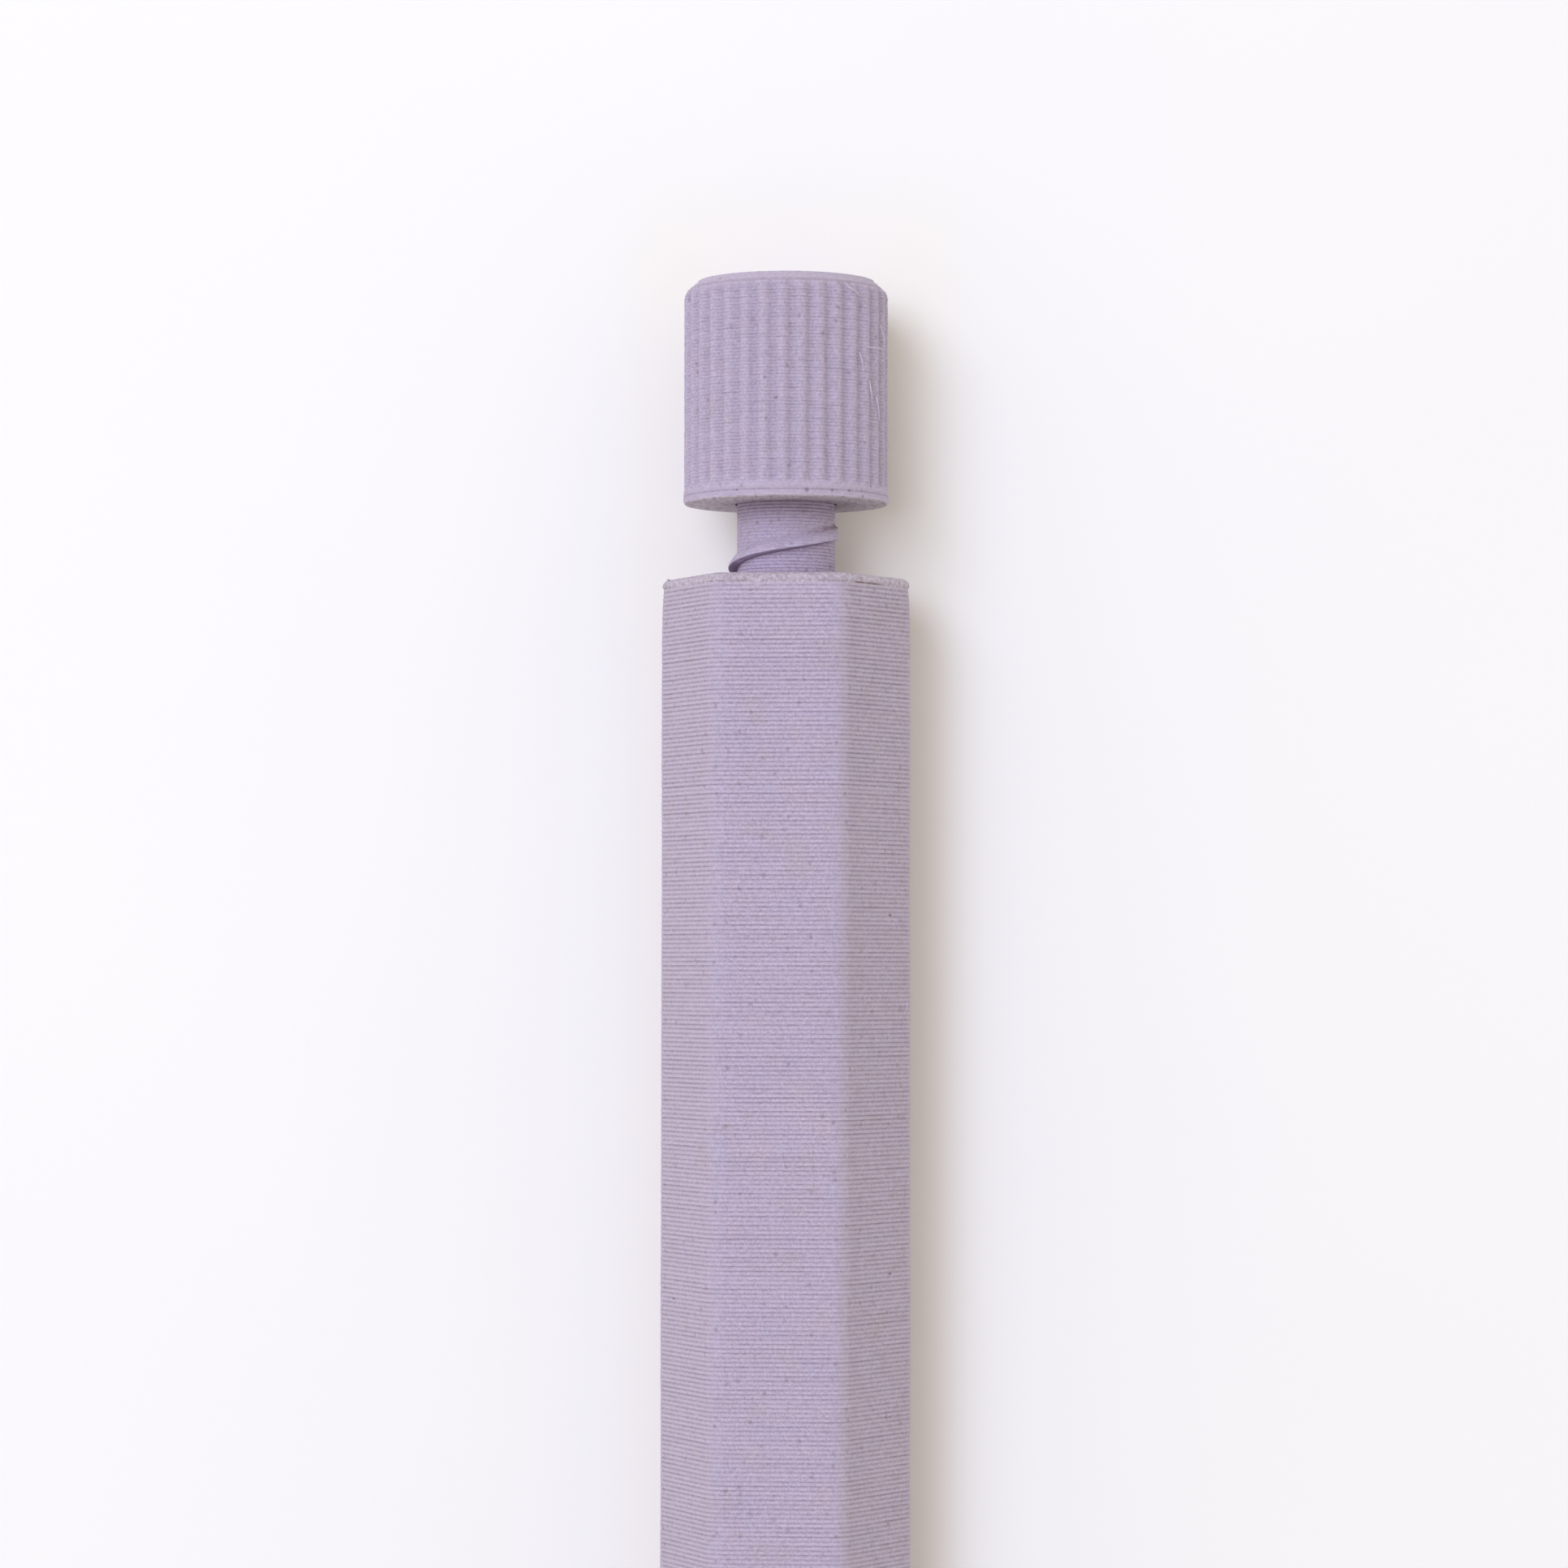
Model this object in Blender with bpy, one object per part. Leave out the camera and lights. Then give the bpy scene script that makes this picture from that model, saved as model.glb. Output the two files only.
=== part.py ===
"""Screw-advance ballpoint pen with a printed six-sided barrel, in metres, +Z up.

The pen lies on one flat of its barrel, along Y: the knob is at +Y and the writing tip at -Y.
Turning the knob drives its stem into the barrel on a coarse right-hand ridge, and the stem pushes
the refill forward against a wire spring.

Each piece is modelled about its own Z axis, which the empty pen_axis lays along +Y, so heights in
this file are places along the pen. Angles are measured from the pen's top, growing towards +X.
"""

from math import acos, asin, cos, pi, sin, tau

import bmesh
import bpy
from mathutils import Vector

MM = 0.001

# Barrel
BARREL_LENGTH = 126.6 * MM
ACROSS_FLATS = 10.0 * MM
CORNER_RADIUS = 1.0 * MM
NOSE_LENGTH = 15.0 * MM
NOSE_WALL = 0.85 * MM
NOSE_ROUNDING = 0.4 * MM
SHOULDER_FROM_TIP = 20.6 * MM

# Knob
KNOB_LENGTH = 10.0 * MM
KNOB_SETBACK = 0.4 * MM
KNOB_GAP = 3.4 * MM
KNOB_STOP = 0.32 * MM
KNOB_CHAMFER = 0.8 * MM
RING_HEIGHT = 0.6 * MM
RING_EDGE = 0.15 * MM
RIB_COUNT = 33
RIB_DEPTH = 0.22 * MM
RIB_PHASE = 2.2 * pi / 180
RIB_POINTS = 6

# Stem, its key in the knob and its ridge
STEM_REACH = 22.1 * MM
STEM_LEAD_IN = 0.5 * MM
SOCKET_DEPTH = 6.0 * MM
KEY_START = 1.0 * MM
KEY_DEPTH = 0.5 * MM
THREAD_LEAD = 2.2 * MM
THREAD_TURNS = 4.4
THREAD_TOP = 1.15 * MM
RIDGE_HEIGHT = 0.4 * MM
RIDGE_WIDTH = 0.65 * MM
TIP_FLANK = 0.12 * MM
KNOB_FLANK = 0.35 * MM
RIDGE_END = 120 * pi / 180
RUN_OUT = 140 * pi / 180
RIDGE_ROOT = 0.3 * MM
RIDGE_SINK = 0.05 * MM

# Refill
TIP_RECESS = 0.6 * MM
TUBE_RADIUS = 1.55 * MM
TUBE_WALL = 0.4 * MM
EAR_LENGTH = 2.5 * MM
EAR_SLOPE = 0.6 * MM
EAR_SHARPNESS = 12
FOLLOWER_LENGTH = 5.0 * MM
EMPTY_TUBE = 11.0 * MM
NIB_STEP = 0.4 * MM
NIB_CONE = 2.6 * MM
NIB_BODY = 6.8 * MM
NIB_FLANGE = 0.8 * MM
NIB_SHANK = 5.0 * MM
INK_CHANNEL = 0.3 * MM
BALL_RADIUS = 0.5 * MM
BALL_EXPOSED = 0.14 * MM
SOCKET_WALL = 0.12 * MM

# Spring
WIRE_DIAMETER = 0.35 * MM
SPRING_LENGTH = 16.0 * MM
SPRING_TURNS = 9

# Clearances
SEAT = 0.3 * MM
SPRING_CLEARANCE = 0.225 * MM
STEM_CLEARANCE = 0.15 * MM
KEY_CLEARANCE = 0.1 * MM
THREAD_CLEARANCE = 0.2 * MM
GUIDE_CLEARANCE = 0.2 * MM
FILL_CLEARANCE = 0.1 * MM
BALL_CLEARANCE = 0.08 * MM

# Fineness of the round forms, and how far a cutter runs past the face it opens
ROUND_STEPS = 36
CORNER_STEPS = 4
ROUNDING_STEPS = 3
BALL_STEPS = 6
THREAD_STEPS = 24
CURL_POINTS = 10
BALL_SUBDIVISIONS = 3
OVERRUN = 2.0 * MM
WELD = 0.0001 * MM
SMOOTH_BELOW = 32 * pi / 180

# Places along the pen
OVERALL_LENGTH = BARREL_LENGTH + KNOB_GAP + KNOB_LENGTH
TIP = -OVERALL_LENGTH / 2
REAR = TIP + BARREL_LENGTH
KNOB_FOOT = REAR + KNOB_GAP
KNOB_TOP = KNOB_FOOT + KNOB_LENGTH
TRAVEL = KNOB_GAP - KNOB_STOP
STEM_END = KNOB_FOOT - STEM_REACH
SHOULDER = TIP + SHOULDER_FROM_TIP
BALL_CENTRE = TIP + TIP_RECESS + BALL_RADIUS
FLANGE_FRONT = BALL_CENTRE + NIB_CONE + NIB_BODY
TUBE_FRONT = FLANGE_FRONT + NIB_FLANGE + FILL_CLEARANCE
TUBE_TAIL = STEM_END - SEAT
GUIDE_END = FLANGE_FRONT - TRAVEL - SEAT
SPRING_FRONT = SHOULDER + SEAT
EAR_FRONT = SPRING_FRONT + SPRING_LENGTH + SEAT

# Radii that follow from what passes through what
AXIS_HEIGHT = ACROSS_FLATS / 2
CORNER_REACH = (AXIS_HEIGHT - CORNER_RADIUS) / cos(pi / 6)
CORNER_EXTENT = CORNER_REACH + CORNER_RADIUS
KNOB_RADIUS = AXIS_HEIGHT - KNOB_SETBACK
SPRING_RADIUS = TUBE_RADIUS + SPRING_CLEARANCE + WIRE_DIAMETER / 2
BORE_RADIUS = SPRING_RADIUS + WIRE_DIAMETER / 2 + SPRING_CLEARANCE
STEM_RADIUS = BORE_RADIUS - STEM_CLEARANCE
EAR_RADIUS = BORE_RADIUS - SPRING_CLEARANCE
TUBE_BORE = TUBE_RADIUS - TUBE_WALL
FILL_RADIUS = TUBE_BORE - FILL_CLEARANCE
NIB_RADIUS = TUBE_RADIUS - NIB_STEP
NOSE_HOLE = NIB_RADIUS + GUIDE_CLEARANCE
NOSE_RADIUS = NOSE_HOLE + NOSE_WALL

# Linear colours of the materials
LAVENDER = (0.50, 0.41, 0.57, 1.0)
MILKY = (0.80, 0.82, 0.80, 1.0)
INK_BLUE = (0.01, 0.02, 0.16, 1.0)
GREASE = (0.75, 0.68, 0.42, 1.0)
NICKEL = (0.70, 0.66, 0.58, 1.0)
STEEL = (0.60, 0.60, 0.62, 1.0)


def clear_scene():
    for item in list(bpy.data.objects):
        bpy.data.objects.remove(item, do_unlink=True)


def make_material(name, colour, roughness, metallic):
    material = bpy.data.materials.new(name)
    material.use_nodes = True
    surface = material.node_tree.nodes["Principled BSDF"]
    surface.inputs["Base Color"].default_value = colour
    surface.inputs["Roughness"].default_value = roughness
    surface.inputs["Metallic"].default_value = metallic
    return material


def make_empty(name, parent):
    empty = bpy.data.objects.new(name, None)
    bpy.context.scene.collection.objects.link(empty)
    empty.parent = parent
    return empty


def add_object(name, data, parent):
    piece = bpy.data.objects.new(name, data)
    bpy.context.scene.collection.objects.link(piece)
    piece.parent = parent
    return piece


def add_mesh(name, form, parent):
    """Turn a bmesh into an object whose round faces are shaded smooth."""
    bmesh.ops.recalc_face_normals(form, faces=form.faces)
    mesh = bpy.data.meshes.new(name)
    form.to_mesh(mesh)
    form.free()
    mesh.shade_smooth()
    mesh.set_sharp_from_angle(angle=SMOOTH_BELOW)
    return add_object(name, mesh, parent)


def add_piece(name, form, parent, material):
    piece = add_mesh(name, form, parent)
    piece.data.materials.append(material)
    return piece


def add_cutter(name, form, parent):
    cutter = add_mesh(name, form, parent)
    cutter.hide_render = True
    cutter.display_type = "WIRE"
    return cutter


def combine(piece, other, operation):
    change = piece.modifiers.new(other.name, "BOOLEAN")
    change.operation = operation
    change.solver = "EXACT"
    change.object = other


def around(radius, angle, height):
    return Vector((radius * sin(angle), -radius * cos(angle), height))


def ring(radius_at, height, points):
    """A ring of points whose radius is a function of the angle."""
    angles = [index * tau / points for index in range(points)]
    return [around(radius_at(angle), angle, height) for angle in angles]


def circle(radius):
    return lambda angle: radius


def keyed(radius, depth):
    """A circle with one flat, cut to the given depth on the side that faces down."""
    flat = radius - depth
    return lambda angle: min(radius, flat / max(-cos(angle), flat / radius))


def skin(rings, closed):
    """Bridge rings of equal count; a closed run meets itself, and an open one gets flat ends."""
    form = bmesh.new()
    loops = [[form.verts.new(point) for point in points] for points in rings]
    pairs = list(zip(loops, loops[1:]))
    if closed:
        pairs.append((loops[-1], loops[0]))
    else:
        form.faces.new(loops[0])
        form.faces.new(loops[-1])
    count = len(loops[0])
    for here, there in pairs:
        for index in range(count):
            after = (index + 1) % count
            form.faces.new((here[index], here[after], there[after], there[index]))
    return form


def turned(outline, closed):
    """Spin an outline of (radius, height) points about the pen's axis."""
    form = bmesh.new()
    points = [form.verts.new(around(radius, 0.0, height)) for radius, height in outline]
    edges = [form.edges.new(pair) for pair in zip(points, points[1:])]
    if closed:
        edges.append(form.edges.new((points[-1], points[0])))
    bmesh.ops.spin(
        form,
        geom=points + edges,
        cent=(0.0, 0.0, 0.0),
        axis=(0.0, 0.0, 1.0),
        angle=tau,
        steps=ROUND_STEPS,
        use_merge=True,
    )
    bmesh.ops.remove_doubles(form, verts=form.verts, dist=WELD)
    return form


def arc(radius, middle, start, end, steps):
    """Points of (radius, height) on an arc, with the angle measured from the outward direction."""
    points = []
    for step in range(steps + 1):
        angle = start + (end - start) * step / steps
        points.append((middle[0] + radius * cos(angle), middle[1] + radius * sin(angle)))
    return points


def six_sided_outline(height):
    points = []
    for corner in range(6):
        middle = pi / 6 + corner * pi / 3
        centre = around(CORNER_REACH, middle, height)
        for step in range(CORNER_STEPS + 1):
            angle = middle + (step / CORNER_STEPS - 0.5) * pi / 3
            points.append(centre + around(CORNER_RADIUS, angle, 0.0))
    return points


def six_sided_bar():
    form = bmesh.new()
    outline = six_sided_outline(TIP - OVERRUN)
    face = form.faces.new([form.verts.new(point) for point in outline])
    grown = bmesh.ops.extrude_face_region(form, geom=[face])
    moved = [item for item in grown["geom"] if isinstance(item, bmesh.types.BMVert)]
    bmesh.ops.translate(form, verts=moved, vec=(0.0, 0.0, BARREL_LENGTH + OVERRUN))
    return form


def nose_envelope():
    """The turned form that the bar is trimmed to: a cone with a rounded end, and room behind it."""
    slope = (CORNER_EXTENT - NOSE_RADIUS) / NOSE_LENGTH
    room = CORNER_EXTENT + OVERRUN
    rounding = (NOSE_RADIUS - NOSE_ROUNDING, TIP + NOSE_ROUNDING)
    outline = [(0.0, TIP)]
    outline += arc(NOSE_ROUNDING, rounding, -pi / 2, 0.0, ROUNDING_STEPS)
    outline.append((room, TIP + NOSE_ROUNDING + (room - NOSE_RADIUS) / slope))
    outline.append((room, REAR + OVERRUN))
    outline.append((0.0, REAR + OVERRUN))
    return turned(outline, closed=False)


def stepped_bore():
    guide = TUBE_RADIUS + GUIDE_CLEARANCE
    outline = [
        (0.0, REAR + OVERRUN),
        (BORE_RADIUS, REAR + OVERRUN),
        (BORE_RADIUS, SHOULDER),
        (guide, SHOULDER),
        (guide, GUIDE_END),
        (NOSE_HOLE, GUIDE_END),
        (NOSE_HOLE, TIP - OVERRUN),
        (0.0, TIP - OVERRUN),
    ]
    return turned(outline, closed=False)


def thread_section(angle, crest, spread):
    """One section of the ridge, from its root in the stem to a crest height above the stem.

    The flank towards the tip is steep and the flank towards the knob leans. The spread widens the
    section on both sides, which turns the ridge into the groove that it runs in.
    """
    foot = REAR + THREAD_TOP + THREAD_LEAD * angle / tau
    tip_lean = TIP_FLANK / RIDGE_HEIGHT
    knob_lean = KNOB_FLANK / RIDGE_HEIGHT
    section = [
        (-RIDGE_ROOT, -tip_lean * RIDGE_ROOT - spread),
        (crest, tip_lean * crest - spread),
        (crest, RIDGE_WIDTH - knob_lean * crest + spread),
        (-RIDGE_ROOT, RIDGE_WIDTH + knob_lean * RIDGE_ROOT + spread),
    ]
    return [around(STEM_RADIUS + rise, angle, foot + along) for rise, along in section]


def thread_ridge():
    """The ridge on the stem, which fades into the stem at both ends."""
    start = RIDGE_END - THREAD_TURNS * tau
    steps = round(THREAD_TURNS * THREAD_STEPS)
    rings = []
    for step in range(steps + 1):
        angle = start + (RIDGE_END - start) * step / steps
        fade = min(1.0, (RIDGE_END - angle) / RUN_OUT, (angle - start) / RUN_OUT)
        crest = fade * (RIDGE_HEIGHT + RIDGE_SINK) - RIDGE_SINK
        rings.append(thread_section(angle, crest, 0.0))
    return skin(rings, closed=False)


def thread_groove():
    """The path of the ridge through the barrel, open at the barrel's end."""
    start = RIDGE_END - THREAD_TURNS * tau - (TRAVEL + SEAT) * tau / THREAD_LEAD
    end = (OVERRUN - THREAD_TOP) * tau / THREAD_LEAD
    steps = round((end - start) / tau * THREAD_STEPS)
    rings = []
    for step in range(steps + 1):
        angle = start + (end - start) * step / steps
        rings.append(thread_section(angle, RIDGE_HEIGHT + THREAD_CLEARANCE, THREAD_CLEARANCE))
    return skin(rings, closed=False)


def make_barrel(parent, material):
    barrel = add_piece("barrel", six_sided_bar(), parent, material)
    combine(barrel, add_cutter("nose_envelope", nose_envelope(), parent), "INTERSECT")
    combine(barrel, add_cutter("stepped_bore", stepped_bore(), parent), "DIFFERENCE")
    combine(barrel, add_cutter("thread_groove", thread_groove(), parent), "DIFFERENCE")


def ribbed(limit):
    """The knob's radius with its grooves, kept within a limit, which is the chamfer's cone."""
    def radius_at(angle):
        wave = 0.5 + 0.5 * cos(RIB_COUNT * (angle - RIB_PHASE))
        return min(limit, KNOB_RADIUS - RIB_DEPTH * wave * wave)
    return radius_at


def make_knob(parent, material):
    cone_foot = KNOB_TOP - KNOB_CHAMFER
    rib_foot = KNOB_FOOT + RING_HEIGHT
    socket = STEM_RADIUS + KEY_CLEARANCE
    key_foot = KNOB_FOOT + KEY_START + SEAT
    stations = [
        (KNOB_TOP, circle(KNOB_RADIUS - KNOB_CHAMFER)),
        (cone_foot + RIB_DEPTH, ribbed(KNOB_RADIUS - RIB_DEPTH)),
        (cone_foot + RIB_DEPTH / 2, ribbed(KNOB_RADIUS - RIB_DEPTH / 2)),
        (cone_foot, ribbed(KNOB_RADIUS)),
        (rib_foot + RIB_DEPTH, ribbed(KNOB_RADIUS)),
        (rib_foot, circle(KNOB_RADIUS)),
        (KNOB_FOOT + RING_EDGE, circle(KNOB_RADIUS)),
        (KNOB_FOOT, circle(KNOB_RADIUS - RING_EDGE)),
        (KNOB_FOOT, circle(socket)),
        (key_foot, circle(socket)),
        (key_foot + KEY_DEPTH, keyed(socket, KEY_DEPTH)),
        (KNOB_FOOT + SOCKET_DEPTH, keyed(socket, KEY_DEPTH)),
    ]
    rings = [ring(radius_at, height, RIB_COUNT * RIB_POINTS) for height, radius_at in stations]
    add_piece("knob", skin(rings, closed=False), parent, material)


def make_stem(parent, material):
    key_foot = KNOB_FOOT + KEY_START
    stations = [
        (STEM_END, circle(STEM_RADIUS - STEM_LEAD_IN)),
        (STEM_END + STEM_LEAD_IN, circle(STEM_RADIUS)),
        (key_foot - KEY_DEPTH, circle(STEM_RADIUS)),
        (key_foot, keyed(STEM_RADIUS, KEY_DEPTH)),
        (KNOB_FOOT + SOCKET_DEPTH - SEAT, keyed(STEM_RADIUS, KEY_DEPTH)),
    ]
    rings = [ring(radius_at, height, ROUND_STEPS) for height, radius_at in stations]
    stem = add_piece("screw_stem", skin(rings, closed=False), parent, material)
    combine(stem, add_cutter("thread_ridge", thread_ridge(), parent), "UNION")


def eared(angle):
    """The tube's radius where it is pinched into one ear on each side."""
    return TUBE_RADIUS + (EAR_RADIUS - TUBE_RADIUS) * abs(sin(angle)) ** EAR_SHARPNESS


def make_tube(parent, material):
    stations = [
        (TUBE_FRONT, circle(TUBE_BORE)),
        (TUBE_FRONT, circle(TUBE_RADIUS)),
        (EAR_FRONT, circle(TUBE_RADIUS)),
        (EAR_FRONT + EAR_SLOPE / 2, eared),
        (EAR_FRONT + EAR_LENGTH - EAR_SLOPE, eared),
        (EAR_FRONT + EAR_LENGTH, circle(TUBE_RADIUS)),
        (TUBE_TAIL, circle(TUBE_RADIUS)),
        (TUBE_TAIL, circle(TUBE_BORE)),
    ]
    rings = [ring(radius_at, height, ROUND_STEPS) for height, radius_at in stations]
    add_piece("refill_tube", skin(rings, closed=True), parent, material)


def make_fill(parent, ink, grease):
    """The ink from the nib's shank to the follower, and the follower behind it."""
    follower_tail = TUBE_TAIL - EMPTY_TUBE
    follower_front = follower_tail - FOLLOWER_LENGTH
    shank_tail = TUBE_FRONT + NIB_SHANK
    lengths = [
        ("ink_column", shank_tail + FILL_CLEARANCE, follower_front - FILL_CLEARANCE, ink),
        ("follower_plug", follower_front, follower_tail, grease),
    ]
    for name, front, tail, material in lengths:
        outline = [(0.0, front), (FILL_RADIUS, front), (FILL_RADIUS, tail), (0.0, tail)]
        add_piece(name, turned(outline, closed=False), parent, material)


def make_nib(parent, material):
    """The turned point: a lip swaged over the ball, a cone, a flange and a shank in the tube."""
    socket = BALL_RADIUS + BALL_CLEARANCE
    outside = socket + SOCKET_WALL
    lip = BALL_RADIUS - BALL_EXPOSED
    centre = (0.0, BALL_CENTRE)
    channel = acos(INK_CHANNEL / socket)
    inner_lip = -asin(lip / socket)
    outer_lip = -asin(lip / outside)
    shank_tail = TUBE_FRONT + NIB_SHANK
    outline = arc(socket, centre, channel, inner_lip, BALL_STEPS)
    outline += arc(outside, centre, outer_lip, 0.0, ROUNDING_STEPS)
    outline += [
        (NIB_RADIUS, BALL_CENTRE + NIB_CONE),
        (NIB_RADIUS, FLANGE_FRONT),
        (TUBE_RADIUS, FLANGE_FRONT),
        (TUBE_RADIUS, FLANGE_FRONT + NIB_FLANGE),
        (FILL_RADIUS, FLANGE_FRONT + NIB_FLANGE),
        (FILL_RADIUS, shank_tail),
        (INK_CHANNEL, shank_tail),
    ]
    add_piece("nib", turned(outline, closed=True), parent, material)


def make_ball(parent, material):
    form = bmesh.new()
    bmesh.ops.create_icosphere(form, subdivisions=BALL_SUBDIVISIONS, radius=BALL_RADIUS)
    add_piece("writing_ball", form, parent, material)


def spring_points():
    """Points along the wire's middle, from the barrel's shoulder to the refill's ears."""
    count = SPRING_TURNS * CURL_POINTS
    rise = SPRING_LENGTH - WIRE_DIAMETER
    points = []
    for index in range(count + 1):
        height = SPRING_FRONT + WIRE_DIAMETER / 2 + rise * index / count
        points.append(around(SPRING_RADIUS, index * tau / CURL_POINTS, height))
    return points


def least_wire_gap(points):
    """The least clear distance between curls, taken between points half a turn or more apart."""
    apart = CURL_POINTS // 2
    gaps = []
    for index, point in enumerate(points):
        for other in points[index + apart:]:
            gaps.append((other - point).length - WIRE_DIAMETER)
    return min(gaps)


def make_spring(parent, material):
    points = spring_points()
    curve = bpy.data.curves.new("return_spring", "CURVE")
    curve.dimensions = "3D"
    curve.bevel_depth = WIRE_DIAMETER / 2
    curve.bevel_resolution = 1
    curve.use_fill_caps = True
    wire = curve.splines.new("POLY")
    wire.points.add(len(points) - 1)
    for place, point in zip(wire.points, points):
        place.co = (point.x, point.y, point.z, 1.0)
    curve.materials.append(material)
    add_object("return_spring", curve, parent)
    print(f"least gap between curls of the spring: {least_wire_gap(points) / MM:.2f} mm")


def make_pen():
    clear_scene()
    printed = make_material("printed_lavender", LAVENDER, 0.62, 0.0)
    tubing = make_material("refill_tubing", MILKY, 0.35, 0.0)
    ink = make_material("ink", INK_BLUE, 0.15, 0.0)
    grease = make_material("follower_grease", GREASE, 0.2, 0.0)
    nickel = make_material("nib_metal", NICKEL, 0.28, 1.0)
    carbide = make_material("ball_metal", STEEL, 0.12, 1.0)
    steel = make_material("spring_steel", STEEL, 0.3, 1.0)

    pen_axis = make_empty("pen_axis", None)
    pen_axis.location = (0.0, 0.0, AXIS_HEIGHT)
    pen_axis.rotation_euler = (-pi / 2, 0.0, 0.0)
    refill = make_empty("refill", pen_axis)
    turning = make_empty("turning_knob", refill)
    ball = make_empty("ball_centre", refill)
    ball.location = (0.0, 0.0, BALL_CENTRE)

    make_barrel(pen_axis, printed)
    make_spring(pen_axis, steel)
    make_knob(turning, printed)
    make_stem(turning, printed)
    make_tube(refill, tubing)
    make_fill(refill, ink, grease)
    make_nib(refill, nickel)
    make_ball(ball, carbide)


make_pen()
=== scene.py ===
# %% [markdown]
# # A printed twist pen
# The pen lies on a white table with its ribbed knob away from us. It came off a filament printer, so
# its whole character is in the layers: thin beads of lavender plastic, stacked along the pen.
# The solids of the pen are loaded first and stay fixed. They say where every piece is, and this
# lesson dresses them: beads, ribs, the screw ridge, hairs of plastic, wire, metal and ink.

from functools import partialmethod
from math import acos, asin, cos, pi, radians, sin, tan, tau
from types import SimpleNamespace

import bmesh
import bpy
import numpy as np
from mathutils import Matrix, Vector


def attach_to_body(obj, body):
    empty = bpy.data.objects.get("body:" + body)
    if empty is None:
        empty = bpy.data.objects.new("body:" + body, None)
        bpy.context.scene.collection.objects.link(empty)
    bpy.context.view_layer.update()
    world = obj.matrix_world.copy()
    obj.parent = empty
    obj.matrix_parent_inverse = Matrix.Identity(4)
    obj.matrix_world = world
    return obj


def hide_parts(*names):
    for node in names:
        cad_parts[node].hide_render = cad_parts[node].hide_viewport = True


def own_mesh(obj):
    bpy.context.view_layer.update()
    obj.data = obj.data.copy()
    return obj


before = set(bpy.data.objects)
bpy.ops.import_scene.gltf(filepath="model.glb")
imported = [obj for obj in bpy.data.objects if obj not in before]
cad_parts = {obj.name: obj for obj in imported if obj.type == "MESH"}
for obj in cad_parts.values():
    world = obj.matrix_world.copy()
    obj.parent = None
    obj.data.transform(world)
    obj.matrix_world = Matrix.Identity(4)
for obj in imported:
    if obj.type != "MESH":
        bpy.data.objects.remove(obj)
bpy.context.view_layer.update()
print("pieces in the frame:", ", ".join(sorted(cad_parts)))

# %% [markdown]
# ## Camera
# The camera looks almost straight down, a little from the right. It could be placed by eye, but
# a long lens at a measured distance keeps the pen's sides as parallel as they look in the picture.

# %% Place the camera
MM = 0.001
AXIS = 5.0 * MM  # height of the pen's middle line above the table
AIM = Vector((-0.08, 47.40, 5.0)) * MM  # the point in the middle of the picture
TO_CAMERA = Vector((0.077, -0.0363, 1.0))
CAMERA_HEIGHT = 226.8 * MM  # above the pen's middle line
VIEW_ANGLE = radians(17.63)
ROLL = radians(0.05)
FILM_WIDTH = 36.0


def show(name, data):
    """Put an object with this data into the scene."""
    thing = bpy.data.objects.new(name, data)
    bpy.context.scene.collection.objects.link(thing)
    return thing


camera_data = bpy.data.cameras.new("long_lens")
camera_data.sensor_width = FILM_WIDTH
camera_data.sensor_fit = "HORIZONTAL"
camera_data.lens = FILM_WIDTH / 2 / tan(VIEW_ANGLE / 2)
camera_data.clip_start, camera_data.clip_end = 0.01, 20.0
camera = show("camera", camera_data)

towards = TO_CAMERA.normalized()
rightwards = Vector((0.0, 1.0, 0.0)).cross(towards).normalized()
upwards = towards.cross(rightwards)
turned = Matrix((rightwards, upwards, towards)).transposed().to_4x4() @ Matrix.Rotation(ROLL, 4, "Z")
camera.matrix_world = Matrix.Translation(AIM + TO_CAMERA * CAMERA_HEIGHT) @ turned
bpy.context.scene.camera = camera
bpy.context.scene.view_settings.view_transform = "Standard"
print(f"camera {camera.location.z / MM:.0f} mm above the table with a {camera_data.lens:.1f} mm lens")

# %% [markdown]
# ## A way to write shader maths
# Every finish below is drawn by nodes, because a pattern that is worked out stays sharp at any
# distance and needs no picture. Wiring nodes by hand is long to read, so one small class wraps a
# socket: plus, minus, times and the like on it add Math nodes, and one method adds any other node.


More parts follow.
